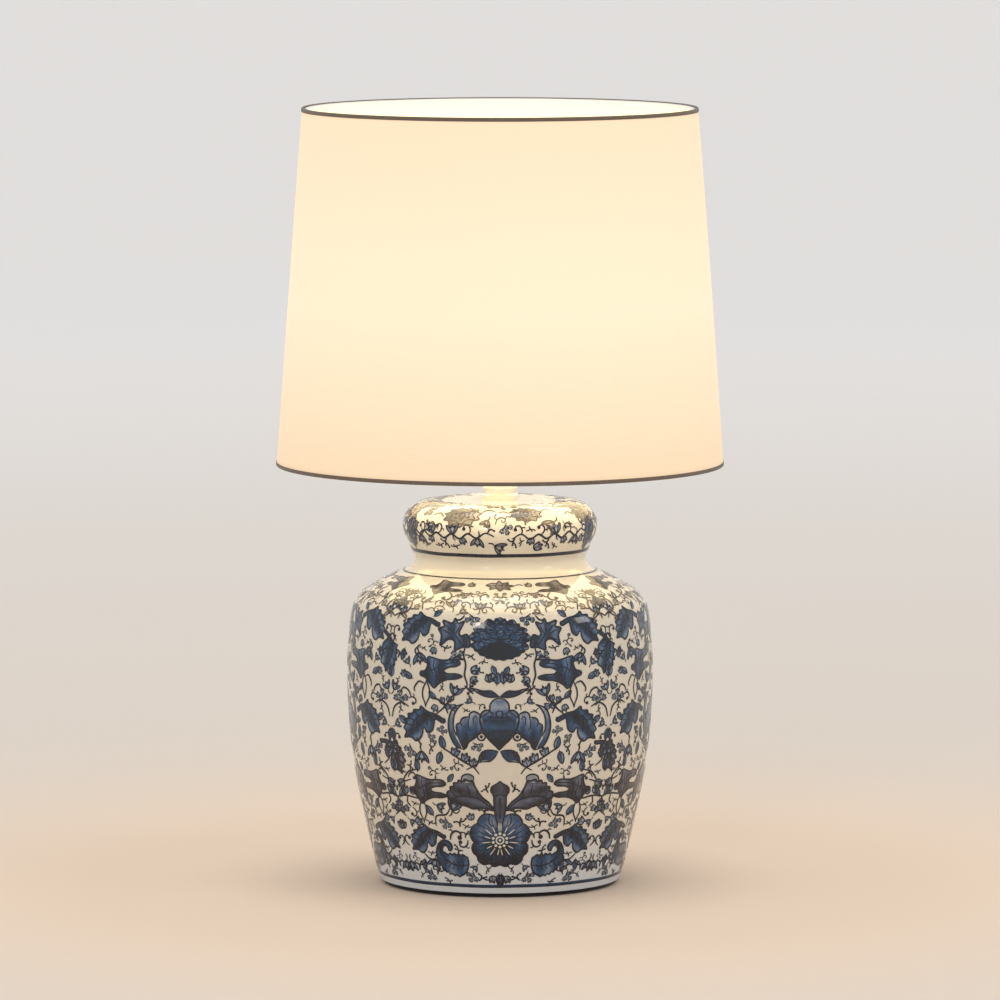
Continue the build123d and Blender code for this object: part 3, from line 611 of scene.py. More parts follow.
# Hibiscus: a deep blue blossom with bare rays round a ring of bare beads, and a toothed leaf curled like a
# comma at each side.
half_hibiscus = Motif()
half_hibiscus.half_wash([(0, 18), (3.6, 17.2), (6.6, 18.3), (10.6, 17.8), (13.2, 15.4), (14.4, 12),
                         (17.4, 9.8), (19.6, 5.4), (19.2, 1.6), (17.2, -1.6), (18.8, -4.6), (18.2, -8.8),
                         (15.6, -11.4), (14.6, -14.8), (11.2, -17.2), (7.2, -16.6), (4.2, -18.6), (0, -17.6)],
                        lambda x, y: 0.58 - 0.018 * y + 0.16 * math.sin(0.55 * math.hypot(x, y) - 2.2)
                        + 0.10 * math.sin(0.8 * x))
half_hibiscus.pens([
    (1.0, [(3.6, 17.4), (6.6, 18.4), (10.6, 17.9), (13.2, 15.4), (14.4, 12), (12.4, 9.4)]),
    (1.0, [(14.4, 12), (17.4, 9.8), (19.6, 5.4), (19.2, 1.6), (17.2, -1.6), (13.6, -2.6)]),
    (1.1, [(17.2, -1.6), (18.8, -4.6), (18.2, -8.8), (15.6, -11.4), (14.6, -14.8), (11.2, -17.2),
           (7.2, -16.6), (4.2, -18.6), (0, -17.6)]),
    (0.8, [(15.6, -11.4), (12.6, -10.4), (10.2, -8.4)]),
    (0.8, [(7.2, -16.6), (6.2, -13), (4.8, -10.6)]),
    (0.7, [(6.6, 18.2), (7.2, 13.4), (5.4, 9.2)])])
for streak in range(11):
    angle = math.radians(-80 + 14.5 * streak)
    tip = ((15.4 + streak % 2) * math.cos(angle + 0.07), (14.4 + streak % 3) * math.sin(angle + 0.07))
    half_hibiscus.pen([(9.4 * math.cos(angle), 9.4 * math.sin(angle)), tip], 0.45)
comma = [(22.4, -12.8)] + toothed((23.2, -12.2), (38.4, -11.6), 0.6, 5, 1.3)
comma += [(40.2, -8.8), (39.6, -5.8), (37.6, -4.8), (36.0, -6.0), (35.4, -8.2), (33.6, -7.8), (33.0, -4.8),
          (35.2, -2.0), (39.0, -1.2), (42.8, -4.0), (44.8, -8.6)]
comma += toothed((45.0, -12.2), (28.0, -25.8), 4.2, 7, 1.2) + [(24.4, -23.6), (22.0, -18.6)]
half_hibiscus.outlined(comma, lambda x, y: 0.56 + 0.016 * (y + 12) + 0.18 * math.sin(0.5 * x))
half_hibiscus.pen([(22.4, -18.0), (30, -18.6), (37, -15.8), (41.8, -10.2), (41.4, -5.4), (38.4, -3.2)], 0.8)
for x in (25.4, 28.6, 31.8, 35.0, 38.0):
    rib = -18.4 + 0.028 * (x - 29) ** 2
    half_hibiscus.pen([(x, rib), (x + 1.2, rib + 2.6)], 0.5)
    half_hibiscus.pen([(x, rib - 0.4), (x + 2.0, rib - 3.2)], 0.5)
for ray in range(8):
    angle = math.radians(-84 + 24 * ray)
    reach = 10.6 + 1.6 * (ray % 2)
    tip = (reach * math.cos(angle + 0.05), reach * math.sin(angle + 0.05))
    half_hibiscus.pen([(6.4 * math.cos(angle), 6.4 * math.sin(angle)), tip], 0.5, layer="reserve")
hibiscus = half_hibiscus.both_sides()
BEADS = 10
for bead in range(BEADS):
    angle = 2 * math.pi * (bead + 0.5) / BEADS
    hibiscus.dot(4.7 * math.cos(angle), 4.7 * math.sin(angle), 1.0, "reserve")
hibiscus.loop(0, 0, 2.5, 0.7, "reserve")
hibiscus.dot(0, 0, 0.8, "reserve")

# Spray above the hibiscus: a bud on a thick stalk, between two large serrated leaves with pale tips.
half_spray = Motif()
half_spray.half_wash([(0, 41.4), (1.8, 39.8), (4.8, 37.6), (5.4, 34.4), (3.8, 31.2), (3.6, 26), (3.2, 20),
                      (1.6, 12), (0, 9)], lambda x, y: 0.46 + 0.006 * (y - 20) + 0.06 * x)
half_spray.pens([
    (0.9, [(0, 41.6), (1.8, 39.8), (4.9, 37.6), (5.5, 34.4), (3.9, 31.2), (3.7, 26), (3.3, 20), (1.8, 12),
           (0.6, 9)]),
    (0.5, [(0.2, 30), (0.6, 22), (0.2, 15)]),
    (0.6, [(0, 32.2), (2.4, 31.4), (3.8, 31.8)])])
leaf_edge = [(3.9, 21), (7, 26.4), (11.4, 30.6), (15, 36.8), (16.8, 41.6)]
leaf_edge += toothed((17.4, 41.2), (32.6, 31.4), 3.4, 5, 1.6)
leaf_edge += [(32.4, 28.4), (25.2, 24.9), (20.6, 23.4), (16.8, 21.9), (10, 22.6)]
half_spray.outlined(leaf_edge, lambda x, y: 0.60 + 0.010 * (x - 18) - 0.010 * (y - 30)
                    + 0.20 * math.cos(0.7 * (y - 0.3 * x)))
half_spray.pen([(4.4, 21.4), (11, 27.6), (19, 30.6), (27, 30), (31.4, 26.6), (31.8, 22), (28.6, 18.4),
                (26, 20.4), (27.6, 22.4)], 0.9)
for x, y in ((14.6, 36), (20, 38.6), (25.6, 36.6), (30, 33.4)):
    half_spray.pen([(0.8 * x + 2.2, 28.6 + 0.05 * x), (0.94 * x + 0.6, 0.5 * y + 14.6), (x, y)], 0.6)
half_spray.wash([(17.4, 41), (20.6, 39.8), (23.6, 40.6), (22.8, 44.4), (19.4, 45.6), (16.8, 44.2)], 0.12)
half_spray.pen([(16.4, 41.4), (16.2, 44.4), (19.4, 46), (23, 44.6), (24, 40.4)], 0.8)
spray = half_spray.both_sides()

# Small fillings: a lily with a zigzag heart, a crown bud, a leaflet, a hook, a twig, an almond loop, a
# cluster of buds and a tendril.
lily = Motif()
for side in (1, -1):
    petal = ((0.2, 0), (2.2, 1.2), (4.4, 3.6), (5.6, 7.8), (3.2, 6.2), (1.6, 3.2))
    lily.outlined([(x * side, y) for x, y in petal], 0.36, 0.7)
lily.wash([(-1.6, 3), (-1.4, 6), (0, 7.6), (1.4, 6), (1.6, 3), (0, 1)], 0.08)
lily.pen([(-1.7, 2.8), (-2, 6.8), (-0.9, 4.8), (0, 8.2), (0.9, 4.8), (2, 6.8), (1.7, 2.8)], 0.7)
lily.pen([(0, 0), (-0.8, -2.8), (0.4, -5.4)], 0.9)

crown_bud = Motif()
crown_bud.wash([(-2.2, 0.6), (-2.6, 4), (0, 5.4), (2.6, 4), (2.2, 0.6), (0, -0.2)], 0.14)
crown_bud.pen([(-2.2, 0.4), (-3, 4.4), (-1.2, 3), (0, 5.8), (1.2, 3), (3, 4.4), (2.2, 0.4), (0, -0.4)], 0.75,
              closed=True)
crown_bud.pen([(0, -0.4), (0, 3.4)], 0.5)

leaflet = Motif()
leaflet.outlined([(0, 0), (2.2, 2.2), (2.4, 5), (0.4, 8.6), (-1.6, 5.4), (-1.8, 2.2)],
                 lambda x, y: 0.34 + 0.10 * x, 0.65)
leaflet.pen([(0, -1.5), (0.2, 3), (0.3, 7)], 0.5)

hook = Motif()
hook.pen([(0, 0), (1.8, 3.2), (1.2, 6.6), (-1.8, 7.6), (-3.6, 5.6)], 1.0)
hook.dot(-3.2, 5.2, 1.5)
hook.pen([(1.6, 4.6), (3.6, 5.2), (4.6, 3.8)], 0.7)

twig = Motif()
twig.pen([(0, 0), (0.6, 3.2), (0, 6)], 1.1)
twig.pen([(0.5, 2.6), (2.6, 3.8), (4.4, 3)], 1.0)
twig.pen([(0.2, 3.8), (-2.2, 5.4), (-3.2, 7)], 1.0)
for knob in ((0, 6.4), (4.8, 2.9), (-3.4, 7.3)):
    twig.dot(*knob, 0.9)

almond = Motif()
for side in (1, -1):
    almond.pen([(0, -9.5), (0.6 * side, -6.8), (2.5 * side, -2.4), (2.4 * side, 2.6), (0.4 * side, 7.2),
                (0, 9.6)], 0.9)

cluster = Motif()
for x, y, turn in ((0, 0, 20), (3.6, 1.6, -50), (-2.8, 2.6, 70), (1.2, 4.6, 5)):
    cluster.add(crown_bud, x, y, turn, 0.72)
cluster.pen([(-3.4, -2.6), (-0.6, -0.6), (2.2, 1.0), (5.2, 0.4)], 0.9)

tendril = Motif()
tendril.pen([(0, 0), (2.5, 3.5), (1.5, 7.5), (4, 10.6), (8, 11), (9.8, 9), (8.4, 7.4)], 1.1)
tendril.dot(8.0, 8.0, 1.3)
tendril.pen([(1.9, 5.2), (-1.4, 6.6), (-3.6, 5.0)], 0.9)
tendril.dot(-3.6, 4.6, 1.1)
tendril.pen([(2.8, 9.6), (1.6, 12), (2.4, 13.6)], 0.8)
tendril.add(crown_bud, 2.4, 13.2, 10, 0.7)
tendril.pen([(2.3, 3.4), (4.6, 3.6), (6.0, 2.2)], 0.9)
tendril.add(leaflet, 6.0, 2.4, -100, 0.5)

WALL_RADIUS = 102.0
jar_wall = TurnedSurface(nodes["jar_body"], (40.0, 120.0), -71, 76)
jar_painting = Painting(jar_wall, 11, WALL_RADIUS)

# The large motifs, from the shoulder down to the foot.
for panel in PANELS:
    jar_painting.put(chrysanthemum, panel, 174.4)
    jar_painting.put(palmette, panel, 118.6)
    jar_painting.put(hibiscus, panel, 38.4, loose=0)
    jar_painting.put(spray, panel, 38.4, loose=0, grey=0.75)
for leaf, degrees, along, turn, size, grey in [
        (star_leaf, 18.0, 177.4, 0, 1.0, 0.3), (curled_leaf, 33.5, 181.5, 0, 0.95, 0.2),
        (tulip_leaf, 23.0, 152.8, 0, 1.0, 0), (curled_leaf, 31.5, 117.6, 0, 1.0, 0),
        (tulip_leaf, 29.6, 72.4, 4, 0.95, 0.85), (curled_leaf, 34.0, 37.8, 2, 0.92, 0.1)]:
    jar_painting.repeat(leaf, degrees, along, turn, size, grey=grey)

# The stems that join them, given as degrees from the panel's middle and millimetres up the wall.
STEMS = [
    [(31, 170), (33.5, 166), (31.5, 161.5), (27.5, 160)],
    [(13, 170.5), (13.6, 164), (12.8, 158), (13.2, 151), (12.2, 144.5), (13.8, 141)],
    [(13.2, 161), (16.5, 163), (18.6, 158.5)],
    [(39.5, 186.5), (42.5, 189.5), (45, 187.5)],
    [(13.2, 144), (11, 140.5), (9.8, 138.6)],
    [(29, 144.3), (31.5, 145.4), (33.5, 141), (33.2, 138.5)],
    [(35, 135), (36.2, 139), (38.5, 140.5), (40, 137)],
    [(36, 128), (39.5, 130.3), (43, 127), (44.4, 120)],
    [(17, 139), (19, 133.5), (21.5, 128.5), (24.5, 124)],
    [(20, 130.5), (23, 133.5), (25, 135.5)],
    [(23, 103), (18.5, 98), (14, 93), (10, 89), (8, 84.5)],
    [(33.6, 86), (38, 83.5), (40.8, 77), (37, 78.5)],
    [(31.6, 66.5), (35, 65.8), (39.5, 66.8), (44.5, 65.8), (46, 59)],
    [(39.6, 66.6), (40.2, 62.5), (38.6, 59.4)],
    [(20.5, 60), (22.4, 55.6), (26.8, 54), (27.4, 47)],
    [(33, 107.5), (31.4, 103.5), (31.6, 100.5)],
    [(44, 104), (41.5, 99), (42.6, 92), (39.5, 87.5)],
    [(35, 27), (32.5, 23.5), (28.5, 22)],
    [(32.4, 193.5), (33.6, 199.5), (31.5, 205)],
    [(13.8, 190.6), (15.4, 187.6), (17.2, 187.4)],
]
stems = Motif()
for stem in STEMS:
    stems.pen([(math.radians(degrees) * WALL_RADIUS, along) for degrees, along in stem], 1.0)
jar_painting.repeat(stems, 0, 0, loose=0, radius=WALL_RADIUS)

# The small fillings of one half panel: motif, degrees, millimetres up the wall, turn and size.
FILLINGS = [
    (lily, 31.5, 164.5, 170, 1.0), (leaflet, 38.4, 166.0, 200, 0.9), (cluster, 44.8, 195, 10, 1.0),
    (crown_bud, 10.6, 153.6, 80, 1.0), (crown_bud, 10.8, 148.0, 100, 0.9), (cluster, 15.6, 161.5, -30, 0.8),
    (hook, 9.0, 141.0, -60, 0.6), (almond, 28.4, 137.8, 3, 1.0), (leaflet, 34.6, 147.6, -60, 0.9),
    (crown_bud, 38.0, 148.8, -40, 0.8), (hook, 36.4, 133.4, 100, 0.8), (hook, 44.6, 168.5, -20, 0.9),
    (twig, 41.4, 160.0, 40, 1.0), (lily, 43.6, 138.2, 30, 0.7), (cluster, 39.8, 130.6, 0, 0.9),
    (leaflet, 40.4, 121.0, 130, 0.9), (leaflet, 44.6, 112.0, 170, 0.9), (lily, 17.2, 137.5, 20, 0.9),
    (cluster, 20.6, 129.0, 30, 1.0), (leaflet, 24.6, 134.6, -40, 0.8), (crown_bud, 24.4, 130.0, 200, 0.8),
    (lily, 31.2, 98.6, 182, 1.0), (twig, 27.6, 103.6, 150, 0.8), (leaflet, 21.6, 101.2, -10, 1.0),
    (leaflet, 23.0, 98.6, -160, 1.0), (crown_bud, 17.4, 97.0, 20, 1.0), (crown_bud, 13.6, 93.6, 20, 1.0),
    (crown_bud, 10.4, 89.8, 10, 1.0), (leaflet, 33.4, 84.8, 5, 0.9), (hook, 38.4, 80.0, 60, 0.8),
    (crown_bud, 41.0, 76.4, -130, 1.0), (cluster, 44.6, 96.2, 30, 1.0), (hook, 43.2, 103.0, 10, 0.8),
    (twig, 38.6, 88.6, 120, 0.8), (almond, 32.6, 58.0, 2, 0.95), (crown_bud, 40.6, 68.6, -10, 1.0),
    (crown_bud, 37.4, 69.0, 30, 0.8), (hook, 38.0, 59.0, 160, 0.8), (cluster, 43.8, 54.8, 0, 1.0),
    (leaflet, 46.4, 66.0, -30, 0.9), (lily, 19.8, 58.4, 25, 0.9), (leaflet, 28.4, 54.6, -30, 0.9),
    (twig, 4.8, 71.8, -20, 0.8), (twig, 6.2, 55.6, 15, 0.9), (twig, 16.8, 47.4, 10, 0.9),
    (twig, 14.6, 39.6, 30, 0.8), (crown_bud, 11.6, 52.6, -20, 0.8), (twig, 16.4, 30.6, -80, 0.8),
    (lily, 29.4, 23.4, 205, 0.9), (leaflet, 35.4, 22.6, 190, 0.9), (twig, 9.4, 9.4, 60, 0.9),
    (crown_bud, 3.4, 12.6, 160, 0.9), (leaflet, 0.6, 13.8, 180, 1.0), (twig, 38.8, 14.6, 20, 1.0),
    (lily, 43.6, 20.4, 175, 0.9), (hook, 42.6, 31.0, -20, 0.9), (twig, 22.0, 8.6, -100, 0.7),
    (twig, 29.4, 12.0, 30, 0.8), (crown_bud, 3.8, 151.6, 150, 0.9), (crown_bud, 4.6, 147.0, 30, 0.9),
    (twig, 7.4, 156.8, -150, 0.8), (leaflet, 1.2, 145.6, 10, 0.9), (leaflet, 3.0, 157.0, 160, 0.8),
    (hook, 43.8, 175.6, 20, 0.8), (crown_bud, 25.2, 168.0, 200, 0.8), (twig, 21.4, 166.2, 30, 0.7),
    (leaflet, 26.2, 189.0, 50, 0.8), (crown_bud, 41.0, 190.0, -20, 0.9), (twig, 39.6, 199.4, 10, 0.9),
    (hook, 7.6, 127.6, 30, 0.6), (leaflet, 44.6, 147.6, 10, 0.9), (leaflet, 44.8, 84.0, 10, 0.9),
    (twig, 44.6, 77.0, 160, 0.8), (crown_bud, 44.4, 43.6, 0, 1.0), (twig, 23.0, 86.0, 60, 0.6)]
for motif, degrees, along, turn, size in FILLINGS:
    jar_painting.repeat(motif, degrees, along, turn, size)
jar_painting.repeat(curled_leaf, -46, 162.8, -60, 0.85, sides=(1,))
jar_painting.repeat(curled_leaf, -44.5, 94.8, -25, 0.85, sides=(1,), grey=0.8)

# The painter fills what is left: the widest gap first, with a filling that suits its width, until none is
# wide.
HALF_PANEL = math.radians(45) * WALL_RADIUS


def centred(motif):
    """The motif moved so that its middle is at its origin, and its reach from there."""
    points = numpy.vstack([patch[0] for patch in motif.patches["pen"]])
    middle = (points.min(0) + points.max(0)) / 2
    moved = Motif()
    moved.add(motif, -middle[0], -middle[1])
    return moved, float(numpy.hypot(*(points - middle).T).max())


SMALL = [centred(motif) for motif in (crown_bud, twig, leaflet, twig)]
MIDDLE = [centred(motif) for motif in (lily, hook, tendril, hook, cluster)]
LARGE = [centred(motif) for motif in (tendril, lily, tendril)]


def fill_gaps(painting, across, up, bare, seed, narrowest, place):
    """Fills the wall between two pairs of limits. bare lists circles that stay empty: x, y, radius."""
    marks = numpy.vstack(painting.marks)
    marks = marks[(marks[:, 0] > across[0] - 12) & (marks[:, 0] < across[1] + 12)]
    spots = numpy.mgrid[across[0]:across[1]:2.0, up[0]:up[1]:2.0].reshape(2, -1).T
    gap = numpy.array([numpy.hypot(marks[:, 0] - x, marks[:, 1] - y).min() for x, y in spots])
    for x, y, radius in bare:
        gap = numpy.minimum(gap, numpy.hypot(spots[:, 0] - x, spots[:, 1] - y) - radius)
    chooser = numpy.random.RandomState(seed)
    while gap.max() > narrowest:
        widest = int(gap.argmax())
        room = float(gap[widest])
        shapes = LARGE if room > 6.2 else MIDDLE if room > 3.9 else SMALL
        motif, reach = shapes[chooser.randint(len(shapes))]
        size = min(1.15, 1.08 * room / reach)
        turn = chooser.uniform(-70, 70) + 180 * chooser.randint(2)
        x, along = spots[widest]
        place(motif, math.degrees(x / painting.radius), along, turn, size)
        gap = numpy.minimum(gap, numpy.hypot(spots[:, 0] - x, spots[:, 1] - along) - 0.9 * reach * size)


BARE_SPOTS = [(0, 88, 14), (17.8, 151, 7), (0, 150, 3.5)]
fill_gaps(jar_painting, (3.0, HALF_PANEL - 2.5), (11.5, 189), BARE_SPOTS, 21, 2.9, jar_painting.repeat)

# Lines run round the foot and the shoulder on the potter's wheel.
LINE_STEPS = 240


def wheel_line(painting, along, width, tone, layer="pen"):
    turns = numpy.radians(numpy.arange(LINE_STEPS) * 360 / LINE_STEPS)
    waver = 0.12 * numpy.sin(3 * turns + along) + 0.08 * numpy.sin(11 * turns)
    low = painting.surface.lay(turns, along - width / 2 + waver, painting.LIFT[layer])
    high = painting.surface.lay(turns, along + width / 2 + waver, painting.LIFT[layer])
    faces = []
    for step in range(LINE_STEPS):
        ahead = (step + 1) % LINE_STEPS
        faces.append((step, ahead, LINE_STEPS + ahead, LINE_STEPS + step))
    painting.layers[layer].append((numpy.vstack([low[0], high[0]]), numpy.vstack([low[1], high[1]]), faces,
                                   numpy.tile((tone, 0.0), (2 * LINE_STEPS, 1))))


FOOT_LINE = 4.8
SHOULDER_LINE_HEIGHT = 212.2
wheel_line(jar_painting, FOOT_LINE + 0.6, 2.4, 0.62, "wash")
wheel_line(jar_painting, FOOT_LINE, 0.8, 1.0)
wheel_line(jar_painting, jar_wall.along_at(SHOULDER_LINE_HEIGHT), 3.0, 1.0)


def wash_finish(name, stops, grey_stops):
    """Watery colour under the glaze: its depth follows the brush, with a fine grain where it settled."""
    wash = Finish(name, {"Specular IOR Level": 0.5, "Coat Weight": 0.3, "Coat Roughness": 0.04})
    strength = wash.node("ShaderNodeVertexColor", {"layer_name": "strength"})
    depth = wash.node("ShaderNodeSeparateColor", None, {0: strength})
    greyness = wash.node("ShaderNodeSeparateColor", None, {0: strength}, output="Green")
    pooling = wash.noise(130, 4, 0.6)
    grain = wash.noise(900, 2)
    level = depth + (pooling - 0.5) * 0.55 + (grain - 0.5) * 0.12
    colour = wash.node("ShaderNodeValToRGB", {"stops": stops}, {"Fac": level})
    greyed = wash.node("ShaderNodeValToRGB", {"stops": grey_stops}, {"Fac": level})
    wash.vary("Base Color", wash.blend(greyness, colour, greyed))
    wash.vary("Roughness", grain * 0.06 + 0.05)
    wash.bump(pooling, 0.10, 0.0004)
    return wash


def pen_finish(name, colour):
    """A fine dark line under the glaze."""
    line = Finish(name, {"Base Color": (*colour, 1), "Specular IOR Level": 0.5, "Coat Weight": 0.3,
                         "Coat Roughness": 0.04})
    grain = line.noise(700, 2)
    line.vary("Roughness", grain * 0.08 + 0.06)
    line.bump(grain, 0.08, 0.0002)
    return line


COBALT = [(0.0, (0.33, 0.37, 0.43)), (0.25, (0.115, 0.170, 0.265)), (0.50, (0.018, 0.064, 0.150)),
          (0.76, (0.006, 0.020, 0.046)), (1.0, (0.003, 0.006, 0.012))]
IRON_GREY = [(0.0, (0.36, 0.35, 0.37)), (0.25, (0.17, 0.165, 0.205)), (0.50, (0.072, 0.072, 0.100)),
             (0.76, (0.030, 0.029, 0.038)), (1.0, (0.012, 0.011, 0.013))]
cobalt_wash = wash_finish("cobalt_wash", COBALT, IRON_GREY)
cobalt_pen = pen_finish("cobalt_pen", (0.006, 0.008, 0.022))
jar_painting.piece("wash", "jar_washes", "glazed_stoneware", cobalt_wash)
jar_painting.piece("pen", "jar_pen_lines", "glazed_stoneware", cobalt_pen)
jar_painting.piece("reserve", "jar_bare_beads", "glazed_stoneware", glaze_finish("bare_glaze", 0.0, 0.001))

# The shoulder has its own thinner painting: leaves under the ring line and scrolls, in grey-brown and pale
# brown.
# That brown is painted light: it stands for the blue paint washed out by the bulb's warm glare, strongest
# here.
shoulder_leaf = Motif()
shoulder_leaf.outlined([(-9, 0.5), (-5, 3.4), (-2.4, 3), (-0.6, 6.4), (1.6, 3.6), (5.6, 4.4), (5.4, 1.6),
                        (9.4, 0.2), (6, -1.8), (6.8, -4.6), (2.6, -3.4), (0, -6.2), (-2, -3), (-6, -4.2),
                        (-5.6, -1.4)],
                       lambda x, y: 0.45 + 0.03 * x, 0.8)
shoulder_leaf.pen([(-8, 0.4), (-2, 0.2), (4, 0.4), (8.4, 0.2)], 0.6)
for vein_x in (-3, 1, 4):
    shoulder_leaf.pen([(vein_x, 0.3), (vein_x + 1.4, 3)], 0.5)
    shoulder_leaf.pen([(vein_x, 0.2), (vein_x + 1.2, -2.6)], 0.5)
shoulder_leaf.pen([(9.4, 0.2), (12.6, 1.8), (15.6, 0.2)], 0.7)

curl = Motif()
curl.pen([(0, 0), (2.6, 3.4), (6.4, 4.2), (8.6, 1.8), (7.2, -0.6), (5.2, 0.6), (6.2, 2.2)], 0.8)
curl.pen([(2.4, 3.2), (1.4, 6.2), (3, 8)], 0.7)
curl.pen([(8.6, 1.8), (11, 3.4), (13.4, 2), (15.4, 3.4)], 0.7)
curl.dot(3.2, 8.2, 0.8)

shoulder_painting = Painting(jar_wall, 12, WALL_RADIUS)
for panel in PANELS:
    shoulder_painting.put(shoulder_leaf, panel, 220.6)
for degrees, side in ((28, 1), (62, -1)):
    for panel in PANELS:
        shoulder_painting.put(tulip_leaf, panel + degrees, 217.5, 6 * side, 0.82, flip=side)
for motif, degrees, along, turn, size in [(curl, 2.0, 193.5, 0, 1.0), (curl, 12.0, 196.0, 25, 0.9),
                                          (curl, 22.5, 194.5, -10, 0.95), (lily, 8.4, 195.4, 5, 0.75),
                                          (lily, 19.4, 196.6, -15, 0.8), (hook, 27.6, 197.2, 20, 0.7),
                                          (curl, 36.6, 203.6, 10, 0.9), (lily, 45.0, 204.6, 0, 0.9),
                                          (twig, 31.0, 208.6, 10, 0.9), (curl, 14.0, 212.6, 170, 0.7),
                                          (twig, 42.8, 212.6, 170, 0.8), (crown_bud, 16.0, 220.4, 60, 0.8)]:
    shoulder_painting.repeat(motif, degrees, along, turn, size)
fill_gaps(shoulder_painting, (1.5, HALF_PANEL - 2.5), (193, 213), [], 23, 3.6, shoulder_painting.repeat)
# Painted lamp glare: warm brown copies of the cobalt wash and pen, for where the bulb's light falls
# strongest.
glare_tinted_wash = wash_finish("thin_glare_tinted_wash", [(0.0, (0.50, 0.44, 0.34)), (0.35, (0.26, 0.235, 0.21)),
                                             (0.65, (0.11, 0.105, 0.105)), (1.0, (0.04, 0.040, 0.046))],
                         [(0.0, (0.52, 0.42, 0.32)), (1.0, (0.10, 0.07, 0.05))])
glare_tinted_pen = pen_finish("thin_glare_tinted_pen", (0.10, 0.072, 0.052))
shoulder_painting.piece("wash", "shoulder_washes", "glazed_stoneware", glare_tinted_wash)
shoulder_painting.piece("pen", "shoulder_pen_lines", "glazed_stoneware", glare_tinted_pen)


# ---- Lid --------------------------------------------------------------------------------------------------
# A cushion-shaped lid in the same stoneware and glaze, whose spigot drops into the neck. Its edge carries a
# dark line, with a running vine and peonies above it; the peonies' grey-brown is painted glare from the bulb.

lid_glaze = glaze_finish("lid_glaze", 0.0, 0.001)
lid_glaze.dress("jar_lid")

peony = Motif()
PEONY_LOBES = 11
PEONY_PETALS = 6
peony_rim = []
for number in range(PEONY_LOBES):
    angle = 2 * math.pi * number / PEONY_LOBES
    peony_rim += [(9.5 * math.cos(angle - 0.2), 6.2 * math.sin(angle - 0.2)),
                  (11.6 * math.cos(angle + 0.1), 7.8 * math.sin(angle + 0.1))]
peony.outlined(peony_rim, lambda x, y: 0.42 - 0.03 * x, 0.6)
for number in range(PEONY_PETALS):
    angle = 2 * math.pi * (number + 0.5) / PEONY_PETALS
    for reach, spread in ((0.88, 0.5), (0.52, 0.42)):
        peony.pen([(reach * 7 * math.cos(angle - spread), reach * 4.6 * math.sin(angle - spread)),
                   (reach * 10 * math.cos(angle), reach * 6.8 * math.sin(angle)),
                   (reach * 7 * math.cos(angle + spread), reach * 4.6 * math.sin(angle + spread))], 0.6)
peony.loop(0, 0, 1.8, 0.6)
peony.pens([(0.7, [(11, 1), (15, 4), (19.6, 2.4)]), (0.7, [(-11, -1), (-15, 2), (-19, 0.4)])])

lid_leaf = Motif()
right_edge = toothed((1.8, -9), (1.6, 9.6), -4.6, 6, -1.2)
left_edge = toothed((-1.6, 9.6), (-1.8, -9), -3.4, 5, -1.0)
lid_leaf.outlined([(0, -10.5)] + right_edge + [(0, 11.6)] + left_edge,
                  lambda x, y: 0.66 + 0.03 * x + 0.1 * math.sin(y))
lid_leaf.pen([(0, -12.5), (0.8, -4), (0.6, 4), (0, 10)], 0.8)
for y in (-6, -2, 2, 6):
    lid_leaf.pen([(0.6, y), (3.6, y + 2.6)], 0.5)
    lid_leaf.pen([(0.6, y), (-2.4, y + 2.4)], 0.5)

vine = Motif()
vine.pen([(-30, 3.4), (-24, 6.4), (-18, 2.6), (-12, 5.6), (-6, 2.2), (0, 5), (6, 1.8), (12, 5.4), (18, 2.4),
          (24, 5.8), (30, 3.4)], 1.1)
for x, y, turn, motif in [(-24, 6, 15, hook), (-17, 3, 170, crown_bud), (-10.5, 5.2, -20, hook),
                          (-4, 2, 160, twig), (1.6, 5, 10, lily), (7.4, 2, 200, crown_bud),
                          (13.4, 5.4, 20, hook), (19, 2.6, 170, lily), (25.6, 5.6, -10, twig),
                          (-28, 4, 160, twig)]:
    vine.add(motif, x, y, turn, 0.85)

lid_wall = TurnedSurface(nodes["jar_lid"], (30.0, 240.0), -28, 150)
LID_RADIUS = 62.0
LID_LINE_HEIGHT = 226.6
LID_HALF_TURN = 1.1 * math.pi * LID_RADIUS
lid_painting = Painting(lid_wall, 13, LID_RADIUS, grey=0.7)
for panel in (-30, 34, 98, 162, 226, 290):
    lid_painting.put(vine, panel, 11.6)
for panel in (-66, 66, 130, 194, 258):
    lid_painting.put(lid_leaf, panel, 15.4, 6 if panel > 0 else -6, 1.12, grey=0.2)
fill_gaps(lid_painting, (-LID_HALF_TURN, LID_HALF_TURN), (8.5, 22), [], 22, 2.7, lid_painting.put)
wheel_line(lid_painting, lid_wall.along_at(LID_LINE_HEIGHT), 2.4, 1.0)
lid_painting.piece("wash", "lid_leaf_washes", "glazed_stoneware", cobalt_wash)
lid_painting.piece("pen", "lid_pen_lines", "glazed_stoneware", cobalt_pen)

lid_top_painting = Painting(lid_wall, 14, LID_RADIUS)
for panel in (-25, 65, 155, 245):
    for motif, degrees, along, turn, size, flip in [
            (peony, 0, 31.0, 5, 1.15, 1), (peony, 42, 33.0, 0, 0.95, 1), (curl, 22, 24.0, 20, 0.9, 1),
            (curl, -24, 26.0, 160, 0.8, -1), (twig, 40, 23.0, 10, 0.9, 1),
            (shoulder_leaf, 10, 50.0, 20, 0.7, 1), (curl, 60, 47.0, 20, 0.8, 1)]:
        lid_top_painting.put(motif, panel + degrees, along, turn, size, flip)
for panel in (62, 122, 238, 298):
    lid_top_painting.put(tulip_leaf, panel, 42.0, 4, 0.9, flip=1 if panel < 180 else -1)
fill_gaps(lid_top_painting, (-LID_HALF_TURN, LID_HALF_TURN), (24, 50), [], 24, 4.6, lid_top_painting.put)
# The lid's top takes the same painted glare brown as the shoulder.
lid_top_painting.piece("wash", "lid_top_washes", "glazed_stoneware", glare_tinted_wash)
lid_top_painting.piece("pen", "lid_top_pen_lines", "glazed_stoneware", glare_tinted_pen)


